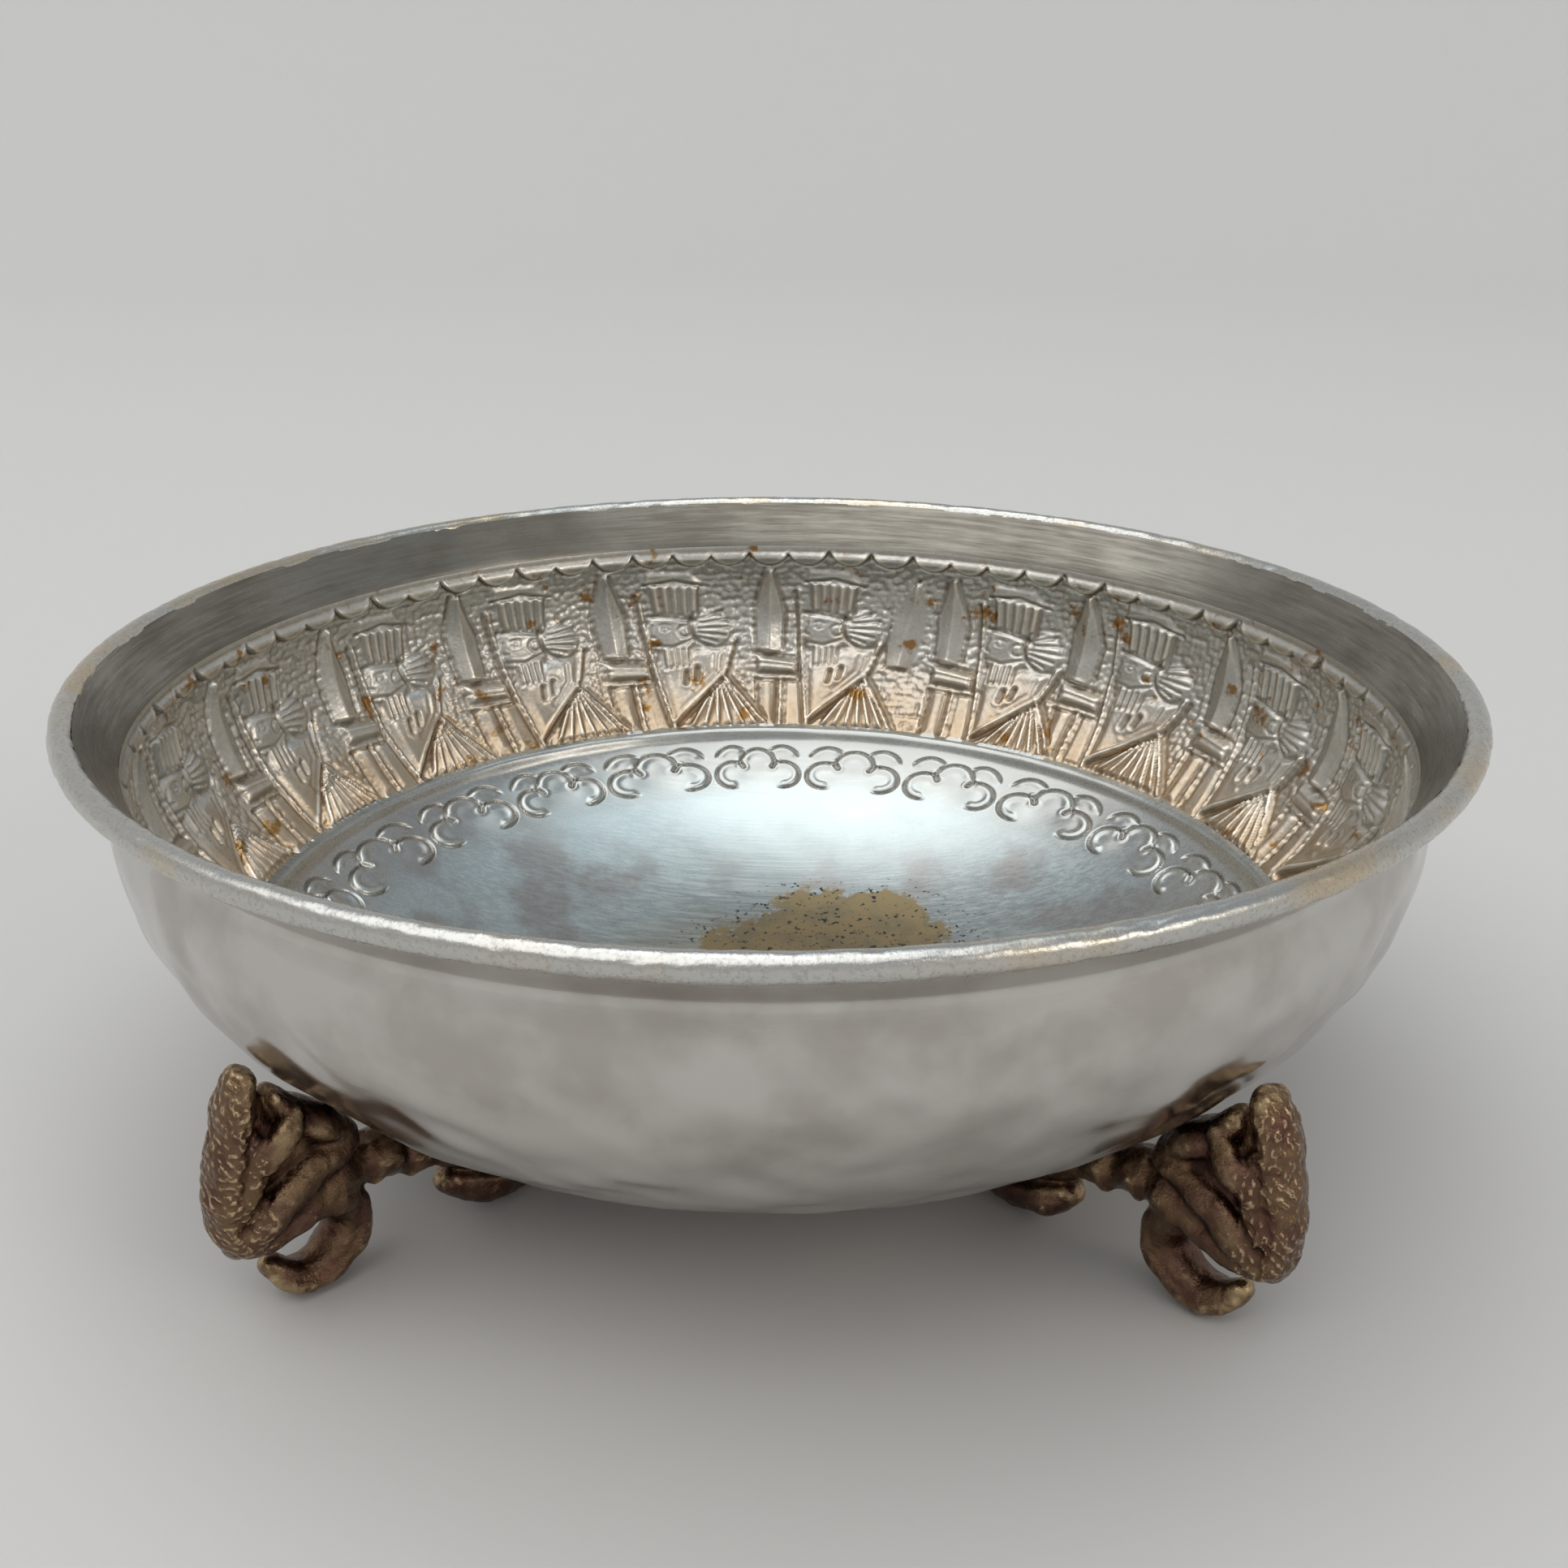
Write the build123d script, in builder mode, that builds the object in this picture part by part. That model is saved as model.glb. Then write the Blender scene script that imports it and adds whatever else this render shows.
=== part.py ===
"""A chased metal bowl with a wired rim, standing loose in a cast stand of four leaf feet.

Inside, a frieze of guards with spears runs round the wall, over a border of trefoils.

Frame: millimetres, +Z up, origin on the floor under the bowl's axis.
The feet stand on the diagonals between +X, +Y, -X and -Y.
"""

import os
from math import asin, atan2, cos, degrees, hypot, radians, sin, sqrt

from build123d import *

os.makedirs("parts", exist_ok=True)

# ---------------------------------------------------------------- bowl, driving dimensions
rim_height = 56.3         # floor to the top of the rolled rim
rim_radius = 80.0         # axis to the outside of the rolled rim
sheet = 0.8               # thickness of the raised sheet
wire_radius = 0.55        # brass wire inside the rolled rim
wire_clearance = 0.05     # wire to the sheet rolled around it
lip_wrap = 281.0          # degrees that the sheet turns around the wire
neck_radius = 73.4        # crease between the flared band and the frieze wall
neck_drop = 7.2           # rim top to that crease
neck_bend = 2.4           # bend radius of the crease
shoulder_radius = 74.8    # widest place of the frieze wall
shoulder_drop = 12.5      # rim top to the widest place
base_radius = 28.0        # flat hammered base
base_height = 6.4         # floor to the middle of the base sheet
base_bend = 30.0          # soft bend from the base into the wall

# ---------------------------------------------------------------- chased relief inside, driving dimensions
ridge_drop = 33.3         # rim top to the ridge between the frieze and the floor's border
ridge_round = 0.75        # radius of that ridge
figure_height = 0.5       # spears and guards above the wall
figure_top_drop = 9.0     # rim top to the top of the frieze's relief
guard_count = 19
guard_pitch = 18.69       # degrees from guard to guard where they are evenly set
guard_turn = 9.41         # degrees from a spear to the middle of the guard that holds it
trefoil_count = 22
trefoil_pitch = 16.6      # degrees from trefoil to trefoil where they are evenly set
trefoil_height = 0.25     # trefoils above the floor
trefoil_radius = 58.8     # axis to the middle lobe of a trefoil
trefoil_lobe = 2.6        # radius of each lobe
trefoil_spread = 4.6      # middle lobe to the side lobes, sideways
trefoil_drop = 1.9        # and towards the axis

# ---------------------------------------------------------------- stand, driving dimensions
foot_count = 4
foot_turn = 45.0          # azimuth of the first foot, from +X
seat_gap = 0.3            # running clearance between the bowl and what carries it
prong_height = 28.6       # floor to the top of the retaining prong
prong_tip = 1.9           # radius of the prong's round tip
prong_gap = 1.0           # prong to the bowl's wall
prong_lean = 1.25         # level half-width of the prong's tip over its radius, as it leans out
spine_width = 6.4         # across the outer spine and prong
leaf_width = 9.6          # across the leaf body
lobe_width = 12.4         # across the side lobes under the bowl
toe_spread = 27.0         # prong to the heel of the inner toe
toe_width = 6.6           # across the curled outer toe
arm_width = 6.8           # across the arm and the inner toe
tab_width = 6.8           # across the flat end of the arm
tab_thickness = 2.0
tab_start = 5.2           # axis to the inner end of the tab
tab_setback = 19.0        # heel of the inner toe to the outer end of the tab
hub_radius = 17.0
hub_thickness = 1.5
hub_chamfer = 0.375
hub_drop = 0.8            # underside of the base sheet to the top of the tabs
rivet_radius = 1.0
rivet_clearance = 0.05    # shank to its holes
rivet_head_radius = 1.9
rivet_head_height = 0.55
rivet_head_round = 0.385
rivet_circles = (8.6, 14.0)   # radii of the inner and the outer rivet of each arm
edge_round = 1.4          # softened edges of the castings
sole = 0.3                # ground off the round toes so that they stand flat

# ---------------------------------------------------------------- derived places
roll_radius = wire_radius + wire_clearance + sheet
roll_line = roll_radius - sheet / 2
wire_r = rim_radius - roll_radius
wire_z = rim_height - roll_radius
neck_z = rim_height - neck_drop
shoulder_z = rim_height - shoulder_drop
wall_depth = (shoulder_z - base_height) / sqrt(1 - (base_radius / shoulder_radius) ** 2)
base_angle = degrees(atan2(-(shoulder_z - base_height) / wall_depth, base_radius / shoulder_radius))

# the flared band is straight and runs into the roll as a tangent
neck_to_wire = hypot(wire_r - neck_radius, wire_z - neck_z)
band_slope = degrees(atan2(wire_z - neck_z, wire_r - neck_radius) + asin(roll_line / neck_to_wire))
roll_start = band_slope + 90

skin_radius = shoulder_radius + sheet / 2     # the wall's outer face
skin_depth = wall_depth + sheet / 2
skin_base = base_height - sheet / 2


def wall_radius(z):
    """Distance of the wall's outer face from the axis at a height z."""
    return skin_radius * sqrt(1 - ((shoulder_z - z) / skin_depth) ** 2)


def inside_wall(z, depth):
    """Distance from the axis and height of a point that lies a depth inside the wall's outer face."""
    across, up = wall_radius(z) / skin_radius**2, (z - shoulder_z) / skin_depth**2
    return wall_radius(z) - depth * across / hypot(across, up), z - depth * up / hypot(across, up)


# ---------------------------------------------------------------- chased relief inside
# Azimuths are set out by eye where the maker began, and evenly from there.
ridge_z = rim_height - ridge_drop
figure_top_z = rim_height - figure_top_drop
spear_places = [149.25, 130.55, 111.75, 92.65, 69.85, 52.65]
spear_places += [32.25 - guard_pitch * number for number in range(guard_count - len(spear_places))]
extra_blade_at = 75.25    # one blade fills the gap that came out too wide
trefoil_joints = [168.05, 149.55, 133.25, 118.25, 101.25, 87.35, 71.85, 56.25, 39.05]
trefoil_joints += [23.85 - trefoil_pitch * number for number in range(trefoil_count - len(trefoil_joints))]

# outlines on the wall: sideways (clockwise, seen from above) and up from the ridge
spear_outline = [(-1.7, 0.3), (1.7, 0.3), (2.1, 12.0), (0.0, 22.9), (-2.1, 12.0)]
guard_outline = [(-4.5, 0.3), (8.9, 0.3), (4.8, 8.0), (3.4, 21.4), (-5.7, 22.7), (-6.0, 9.0)]
blade_outline = [(-1.4, 8.0), (1.9, 14.2), (1.2, 21.3), (-3.0, 14.2)]


def relief_band(height):
    """The wall from the middle of its sheet to a height above its inner face."""
    inset = sheet / 2 + height
    with BuildPart() as band:
        with BuildSketch(Plane.XZ):
            with Locations((0, shoulder_z)):
                Ellipse(shoulder_radius, wall_depth)
                Ellipse(shoulder_radius - inset, wall_depth - inset, mode=Mode.SUBTRACT)
            with Locations((0, base_height)):
                Rectangle(rim_radius, figure_top_z - base_height, align=Align.MIN, mode=Mode.INTERSECT)
        revolve(axis=Axis.Z)
    return band.part


figure_band = relief_band(figure_height)
trefoil_band = relief_band(trefoil_height)


def wall_figure(outline, azimuth):
    """One raised form of the frieze, its outline driven outwards through the wall's inner face."""
    outwards = (cos(radians(azimuth)), sin(radians(azimuth)), 0)
    clockwise = (sin(radians(azimuth)), -cos(radians(azimuth)), 0)
    start = (base_radius * outwards[0], base_radius * outwards[1], ridge_z)
    inwards = (-outwards[0], -outwards[1], 0)
    with BuildPart() as figure:
        with BuildSketch(Plane(origin=start, x_dir=clockwise, z_dir=inwards)):
            with BuildLine():
                Polyline(*outline, close=True)
            make_face()
        extrude(amount=base_radius - rim_radius)
        add(figure_band, mode=Mode.INTERSECT)
    return figure.part


def trefoil(azimuth):
    """Three round lobes on the slope of the floor."""
    with BuildPart() as lobes:
        with BuildSketch(Plane.XY.rotated((0, 0, azimuth))):
            with Locations((trefoil_radius, 0)):
                Circle(trefoil_lobe)
            with Locations(*[(trefoil_radius - trefoil_drop, side * trefoil_spread) for side in (-1, 1)]):
                Circle(trefoil_lobe)
        extrude(amount=ridge_z)
        add(trefoil_band, mode=Mode.INTERSECT)
    return lobes.part


relief = [wall_figure(blade_outline, extra_blade_at)]
for azimuth in spear_places:
    relief.append(wall_figure(spear_outline, azimuth))
    relief.append(wall_figure(guard_outline, azimuth - guard_turn))
for joint, next_joint in zip(trefoil_joints, trefoil_joints[1:] + [trefoil_joints[0] - 360]):
    relief.append(trefoil((joint + next_joint) / 2))

# ---------------------------------------------------------------- bowl
with BuildPart() as bowl_shell:
    with BuildSketch(Plane.XZ) as shell_section:
        with BuildLine():
            floor_line = Line((0, base_height), (base_radius, base_height))
            wall_line = EllipticalCenterArc(
                (0, shoulder_z), shoulder_radius, wall_depth, start_angle=base_angle, arc_size=-base_angle
            )
            neck_line = TangentArc(wall_line @ 1, (neck_radius, neck_z), tangent=(0, 1))
            roll_arc = CenterArc((wire_r, wire_z), roll_line, roll_start, -lip_wrap)
            band_line = Line(neck_line @ 1, roll_arc @ 0)
        trace(line_width=sheet)
        bends = (((neck_radius, neck_z), neck_bend), ((base_radius, base_height), base_bend))
        for bend_at, bend_radius in bends:
            fillet(shell_section.vertices().sort_by_distance(bend_at)[:2], bend_radius)
        with Locations(inside_wall(ridge_z, ridge_round)):
            Circle(ridge_round)
    revolve(axis=Axis.Z)
    add(relief)
bowl_shell.part.label = "bowl_shell"
export_step(bowl_shell.part, "parts/bowl_shell.step")

with BuildPart() as rim_wire:
    with BuildSketch(Plane.XZ):
        with Locations((wire_r, wire_z)):
            Circle(wire_radius)
    revolve(axis=Axis.Z)
rim_wire.part.label = "rim_wire"
export_step(rim_wire.part, "parts/rim_wire.step")


# ---------------------------------------------------------------- feet
# Each limb of a casting is a chain of round stations (distance from the axis, height, radius)
# in the foot's own upright plane; two neighbours are joined by their hull.
prong_r = wall_radius(prong_height - prong_tip) + prong_gap + prong_tip * prong_lean
tab_z = skin_base - hub_drop - tab_thickness / 2      # middle of the flat tabs
hub_z = tab_z - tab_thickness / 2 - hub_thickness     # underside of the hub plate

spine = [
    (prong_r, prong_height - prong_tip, prong_tip),
    (prong_r + 1.8, 22.0, 2.4),
    (prong_r + 2.6, 15.5, 2.7),
    (prong_r + 2.0, 10.0, 2.6),
]
leaf = [
    (prong_r + 1.2, 10.4, 3.0),
    (prong_r - 3.6, 11.4, 4.0),
    (prong_r - 8.6, 11.6, 3.4),
]
upper_lobe = [
    (prong_r + 0.6, 13.5, 2.4),
    (prong_r - 3.4, 19.0, 2.2),
    (prong_r - 5.6, 24.0, 2.0),
]
lower_lobe = [
    (prong_r - 3.6, 12.0, 3.0),
    (prong_r - 7.6, 16.0, 2.5),
    (prong_r - 9.4, 20.0, 2.2),
]
outer_toe = [
    (prong_r - 8.8, 11.0, 3.2),
    (prong_r - 9.8, 6.6, 2.4),
    (prong_r - 8.0, 3.1, 2.3),
    (prong_r - 5.6, 2.2 - sole, 2.2),
    (prong_r - 3.0, 3.4, 1.7),
]
inner_toe_r = prong_r - toe_spread
tab_root = inner_toe_r - tab_setback
arm = [
    (prong_r - 8.8, 11.8, 3.2),
    (prong_r - 15.0, 11.0, 3.0),
    (inner_toe_r + 3.0, 9.0, 2.6),
    (inner_toe_r - 9.0, tab_z + 0.4, 1.8),
    (tab_root, tab_z, tab_thickness / 2),
]
inner_toe = [
    (inner_toe_r + 1.0, 8.0, 2.6),
    (inner_toe_r + 0.6, 4.2, 2.8),
    (inner_toe_r - 2.0, 2.4 - sole, 2.4),
    (inner_toe_r - 9.0, 2.0, 1.2),
]
limbs = [
    (spine, spine_width),
    (leaf, leaf_width),
    (upper_lobe, lobe_width),
    (lower_lobe, lobe_width),
    (outer_toe, toe_width),
    (arm, arm_width),
    (inner_toe, arm_width),
]


def foot_plane(azimuth):
    """Upright plane through the axis: x outwards along the azimuth, y up."""
    outwards = (cos(radians(azimuth)), sin(radians(azimuth)), 0)
    sideways = (sin(radians(azimuth)), -cos(radians(azimuth)), 0)
    return Plane(origin=(0, 0, 0), x_dir=outwards, z_dir=sideways)


def make_foot(name, azimuth):
    """One cast leaf foot, cut back to the seat gap where it comes under the bowl."""
    side = foot_plane(azimuth)
    with BuildPart() as foot:
        for stations, width in limbs:
            with BuildSketch(side):
                for (r1, z1, round1), (r2, z2, round2) in zip(stations, stations[1:]):
                    ends = ((r1, z1, round1), (r2, z2, round2))
                    make_hull([Edge.make_circle(size, Plane((r, z))) for r, z, size in ends])
            limb = extrude(amount=width / 2, both=True, mode=Mode.PRIVATE)
            rims = limb.faces().filter_by(Axis((0, 0, 0), side.z_dir)).edges()
            add(limb.fillet(edge_round, rims))
        with BuildSketch(side):
            with Locations(((tab_start + tab_root) / 2, tab_z)):
                Rectangle(tab_root - tab_start, tab_thickness)
        extrude(amount=tab_width / 2, both=True)
        with BuildSketch(side):
            with Locations((0, shoulder_z)):
                Ellipse(skin_radius + seat_gap, skin_depth + seat_gap)
            with Locations((0, skin_base - seat_gap)):
                Rectangle(rim_radius, rim_height, align=Align.MIN, mode=Mode.INTERSECT)
        revolve(axis=Axis.Z, mode=Mode.SUBTRACT)
        for circle in rivet_circles:
            with BuildSketch(Plane.XY.offset(tab_z)):
                with PolarLocations(circle, 1, start_angle=azimuth):
                    Circle(rivet_radius + rivet_clearance)
            extrude(amount=tab_thickness, both=True, mode=Mode.SUBTRACT)
        split(bisect_by=Plane.XY, keep=Keep.TOP)
    foot.part.label = name
    export_step(foot.part, f"parts/{name}.step")


for number, name in enumerate(["back_right_foot", "back_left_foot", "front_left_foot", "front_right_foot"]):
    make_foot(name, foot_turn + 360 / foot_count * number)


# ---------------------------------------------------------------- hub under the bowl
def make_rivet(name, circle, azimuth):
    """A rivet through one arm's tab and the hub plate, with a flat head on each side."""
    axis_at = Location((circle * cos(radians(azimuth)), circle * sin(radians(azimuth))))
    with BuildPart() as rivet:
        for height, radius, length in (
            (hub_z - rivet_head_height, rivet_head_radius, rivet_head_height),
            (hub_z, rivet_radius, hub_thickness + tab_thickness),
            (tab_z + tab_thickness / 2, rivet_head_radius, rivet_head_height),
        ):
            with BuildSketch(Plane.XY.offset(height)):
                with Locations(axis_at):
                    Circle(radius)
            extrude(amount=length)
        ends = rivet.faces().filter_by(GeomType.PLANE).sort_by(Axis.Z)
        fillet([ends[0].edges()[0], ends[-1].edges()[0]], rivet_head_round)
    rivet.part.label = name
    export_step(rivet.part, f"parts/{name}.step")


with BuildPart() as hub_plate:
    with BuildSketch(Plane.XY.offset(hub_z)):
        Circle(hub_radius)
        for circle in rivet_circles:
            with PolarLocations(circle, foot_count, start_angle=foot_turn):
                Circle(rivet_radius + rivet_clearance, mode=Mode.SUBTRACT)
    extrude(amount=hub_thickness)
    chamfer(hub_plate.faces().sort_by(Axis.Z)[0].outer_wire().edges(), hub_chamfer)
hub_plate.part.label = "hub_plate"
export_step(hub_plate.part, "parts/hub_plate.step")

for foot_number in range(foot_count):
    for place, circle in zip(("inner", "outer"), rivet_circles):
        make_rivet(f"{place}_rivet_{foot_number + 1}", circle, foot_turn + 360 / foot_count * foot_number)
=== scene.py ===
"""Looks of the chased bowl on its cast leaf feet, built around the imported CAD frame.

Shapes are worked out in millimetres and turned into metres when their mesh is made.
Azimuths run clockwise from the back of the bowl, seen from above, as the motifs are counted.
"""

import math

import bpy
import numpy as np
from mathutils import Matrix, Vector


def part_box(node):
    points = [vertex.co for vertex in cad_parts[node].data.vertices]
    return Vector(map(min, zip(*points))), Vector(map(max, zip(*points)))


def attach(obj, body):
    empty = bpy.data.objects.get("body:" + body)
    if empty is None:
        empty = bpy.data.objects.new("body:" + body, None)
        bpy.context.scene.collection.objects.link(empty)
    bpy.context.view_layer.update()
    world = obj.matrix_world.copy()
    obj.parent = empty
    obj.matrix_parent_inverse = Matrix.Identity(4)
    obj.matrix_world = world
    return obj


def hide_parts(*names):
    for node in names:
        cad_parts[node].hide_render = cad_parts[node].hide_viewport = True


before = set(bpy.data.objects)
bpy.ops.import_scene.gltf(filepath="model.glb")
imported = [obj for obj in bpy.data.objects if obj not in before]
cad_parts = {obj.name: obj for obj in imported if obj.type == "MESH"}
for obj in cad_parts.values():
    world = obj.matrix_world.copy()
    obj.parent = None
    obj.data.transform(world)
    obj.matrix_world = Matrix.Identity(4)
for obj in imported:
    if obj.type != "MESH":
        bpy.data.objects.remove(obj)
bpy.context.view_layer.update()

scene = bpy.context.scene
MM = 0.001


def add(name, data):
    """A new object in the scene."""
    thing = bpy.data.objects.new(name, data)
    scene.collection.objects.link(thing)
    return thing


# ---- camera
CAMERA_TURN = 2.25  # degrees from the front, so that the stand shows as it does in the photo
CAMERA_DISTANCE = 216  # mm from the middle of the rim's plane
CAMERA_HEIGHT_ANGLE = 17.475  # degrees above that plane
CAMERA_PAN = -0.397  # degrees from aiming at that middle
CAMERA_TILT = -4.259
CAMERA_ROLL = -0.070
SENSOR = 36  # mm
LENS = 42.083  # mm, on that sensor
NEAREST = 0.01  # metres to the nearest thing that the camera takes in


def make_camera(rim_top):
    """The camera that took the photo: a phone held a little above the rim."""
    height = math.radians(CAMERA_HEIGHT_ANGLE)
    azimuth = math.radians(-90 + CAMERA_TURN)
    level = math.cos(height)
    back = Vector((math.cos(azimuth) * level, math.sin(azimuth) * level, math.sin(height)))
    ahead = -back
    right = ahead.cross(Vector((0, 0, 1))).normalized()
    up = right.cross(ahead)

    def turn(vector, axis, angle):
        along = axis * axis.dot(vector) * (1 - math.cos(angle))
        return vector * math.cos(angle) + axis.cross(vector) * math.sin(angle) + along

    pan, tilt, roll = (math.radians(a) for a in (CAMERA_PAN, CAMERA_TILT, CAMERA_ROLL))
    ahead, right = turn(ahead, up, pan), turn(right, up, pan)
    ahead, up = turn(ahead, right, tilt), turn(up, right, tilt)
    right, up = turn(right, ahead, roll), turn(up, ahead, roll)
    camera = add("camera", bpy.data.cameras.new("camera"))
    camera.data.lens = LENS
    camera.data.sensor_width = SENSOR
    camera.data.clip_start = NEAREST
    place = Vector((0, 0, rim_top * MM)) + back * CAMERA_DISTANCE * MM
    camera.matrix_world = Matrix((
        (right.x, up.x, -ahead.x, place.x),
        (right.y, up.y, -ahead.y, place.y),
        (right.z, up.z, -ahead.z, place.z),
        (0, 0, 0, 1),
    ))
    scene.camera = camera


# ---- the bowl's section, from the frame
SHEET = 0.8  # thickness of the raised sheet
BASE_R = 28.0  # flat hammered base
NECK = (6.6, 7.2)  # crease under the flared band: inside the rim, below its top
SHOULDER = (5.2, 12.5)  # widest place of the frieze wall: inside the rim, below its top
RIDGE_DROP = 33.3  # rim top to the top edge of the smooth ridge under the frieze
BASE_SOFTENING = (5.0, 6.0, 60.0)  # sigma, and the lengths between which the base's bend is softened
NECK_SOFTENING = (0.7, 5)  # sigma, and the reach to both sides of the crease
STEP = 0.05  # spacing of the section's points

shell_low, shell_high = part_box("bowl_shell")
wire_low, wire_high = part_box("rim_wire")
rim_r = shell_high.x / MM
rim_top = shell_high.z / MM
wire_z = (wire_low.z + wire_high.z) / 2 / MM
roll = rim_top - wire_z  # radius of the rolled rim
wire_r = rim_r - roll
base_z = shell_low.z / MM + SHEET / 2
neck_r, neck_z = rim_r - NECK[0], rim_top - NECK[1]
shoulder_r, shoulder_z = rim_r - SHOULDER[0], rim_top - SHOULDER[1]
wall_depth = (shoulder_z - base_z) / math.sqrt(1 - (BASE_R / shoulder_r) ** 2)


def smooth_line(points, sigma, first, last):
    """Softens the part of a polyline between two lengths, as a mallet rounds a bend."""
    reach = int(4 * sigma / STEP)
    weights = np.exp(-0.5 * (np.arange(-reach, reach + 1) * STEP / sigma) ** 2)
    weights /= weights.sum()
    before, after = 2 * points[0] - points[reach:0:-1], 2 * points[-1] - points[-2:-reach - 2:-1]
    padded = np.concatenate([before, points, after])
    soft = np.stack([np.convolve(padded[:, k], weights, "valid") for k in (0, 1)], 1)
    length = np.arange(len(points)) * STEP
    share = np.clip((length - first) / sigma, 0, 1) * np.clip((last - length) / sigma, 0, 1)
    return points + (soft - points) * share[:, None]


def bowl_line():
    """Middle line of the sheet, (r, z) from the axis to the roll, at even steps."""
    t = np.linspace(-math.acos(BASE_R / shoulder_r), 0, 900)
    wall = np.stack([shoulder_r * np.cos(t), shoulder_z + wall_depth * np.sin(t)], 1)
    s = np.linspace(0, 1, 200)[1:, None]
    bend = np.array([shoulder_r, (shoulder_z + neck_z) / 2])
    neck = (1 - s) ** 2 * wall[-1] + 2 * s * (1 - s) * bend + s ** 2 * np.array([neck_r, neck_z])
    # the flared band is straight and runs into the roll as a tangent
    middle_roll = roll - SHEET / 2
    to_wire = np.array([wire_r - neck_r, wire_z - neck_z])
    slope = math.atan2(to_wire[1], to_wire[0]) + math.asin(middle_roll / np.hypot(*to_wire))
    across = np.array([math.cos(slope + math.pi / 2), math.sin(slope + math.pi / 2)])
    touch = np.array([wire_r, wire_z]) + middle_roll * across
    path = np.concatenate([[[0, base_z]], wall, neck, [touch]])
    length = np.concatenate([[0], np.cumsum(np.hypot(*np.diff(path, axis=0).T))])
    even = np.arange(0, length[-1], STEP)
    line = np.stack([np.interp(even, length, path[:, k]) for k in (0, 1)], 1)
    line[0, 0] = 0
    line = smooth_line(line, *BASE_SOFTENING)
    neck_at = even[np.argmin(np.hypot(*(line - (neck_r, neck_z)).T))]
    sigma, reach = NECK_SOFTENING
    return smooth_line(line, sigma, neck_at - reach, neck_at + reach)


line = bowl_line()
tangent = np.gradient(line, axis=0)
tangent /= np.hypot(*tangent.T)[:, None]
inward = np.stack([-tangent[:, 1], tangent[:, 0]], 1)
lengths = np.arange(len(line)) * STEP
line_end = (len(line) - 1) * STEP
# lengths along the line at which it has risen to the crease and the ridge
neck_at, ridge_at = (float(np.interp(z, line[:, 1], lengths)) for z in (neck_z, rim_top - RIDGE_DROP))


def section_at(length):
    """(r, z) and inward normal of the middle line at lengths along it."""
    return (np.stack([np.interp(length, lengths, of[:, k]) for k in (0, 1)], -1) for of in (line, inward))


# ---- mesh helpers
def mesh_object(name, points, faces, **attributes):
    """A smooth-shaded mesh from points in mm, with its named point attributes."""
    mesh = bpy.data.meshes.new(name)
    mesh.vertices.add(len(points))
    mesh.vertices.foreach_set("co", (np.asarray(points, np.float64) * MM).astype(np.float32).ravel())
    faces = np.asarray(faces)
    mesh.loops.add(faces.size)
    mesh.loops.foreach_set("vertex_index", faces.ravel().astype(np.int32))
    mesh.polygons.add(len(faces))
    mesh.polygons.foreach_set("loop_start", np.arange(0, faces.size, faces.shape[1], dtype=np.int32))
    mesh.polygons.foreach_set("use_smooth", np.ones(len(faces), bool))
    for key, values in attributes.items():
        made = mesh.attributes.new(key, "FLOAT", "POINT")
        made.data.foreach_set("value", np.asarray(values, np.float32).ravel())
    mesh.update(calc_edges=True)
    mesh.validate()
    return add(name, mesh)


def ring_faces(rows, columns, inside, closed_rows=False):
    """Quads of a grid that closes around the axis, facing the axis side if inside."""
    j = np.arange(rows if closed_rows else rows - 1)[:, None]
    i = np.arange(columns)[None, :]
    next_i, next_j = (i + 1) % columns, (j + 1) % rows
    here, right = j * columns + i, j * columns + next_i
    up, up_right = next_j * columns + i, next_j * columns + next_i
    quads = np.stack([here, right, up_right, up] if inside else [here, up, up_right, right], -1)
    return quads.reshape(-1, 4)


def azimuth_grid(lengths, columns):
    """Azimuths in degrees and lengths of a grid's points, rows by columns."""
    return np.meshgrid(np.arange(columns) * 360 / columns, lengths)


def around(r, z, azimuth):
    """Points in mm at distances r and heights z, azimuth counted clockwise from the back."""
    angle = np.radians(90 + CAMERA_TURN - azimuth)
    return np.stack([r * np.cos(angle), r * np.sin(angle), z], -1).reshape(-1, 3)


# ---- strokes and masses of the chaser's tools
LINE_WIDTH, LINE_DEPTH = 0.34, 0.4  # a usual chased line
FAR = 9.0  # mm, further than any line reaches
HAMMERED_ROUND = 440  # mm round the wall where the hammer marks are set out
FULL_TURN = 6.3  # radians that a wave's start is drawn from


def smoothstep(low, high, x):
    """0 at low, 1 at high and smooth between; low may be the greater."""
    t = np.clip((x - low) / (high - low), 0, 1)
    return t * t * (3 - 2 * t)


def stroke(x, y, points, width=LINE_WIDTH, depth=LINE_DEPTH):
    """A chased line along a polyline: a groove with a raised burr beside it."""
    nearest = np.full(np.shape(x), FAR)
    for (x1, y1), (x2, y2) in zip(points, points[1:]):
        dx, dy = x2 - x1, y2 - y1
        t = np.clip(((x - x1) * dx + (y - y1) * dy) / (dx * dx + dy * dy), 0, 1)
        nearest = np.minimum(nearest, np.hypot(x - x1 - t * dx, y - y1 - t * dy))
    return groove(nearest, width, depth)


def groove(distance, width, depth):
    """Section of a chased line at a distance from its middle: the cut, and the burr that it throws up."""
    burr = 0.3 * np.exp(-(((distance - 2.1 * width) / width) ** 2))
    return depth * (burr - np.exp(-((distance / width) ** 2)))


def off_arc(dx, dy, first, last):
    """Degrees from the middle of an arc that runs between two angles, and half of what it spans."""
    half = (last - first) / 2
    return np.abs((np.degrees(np.arctan2(dy, dx)) - first - half + 180) % 360 - 180), half


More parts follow.
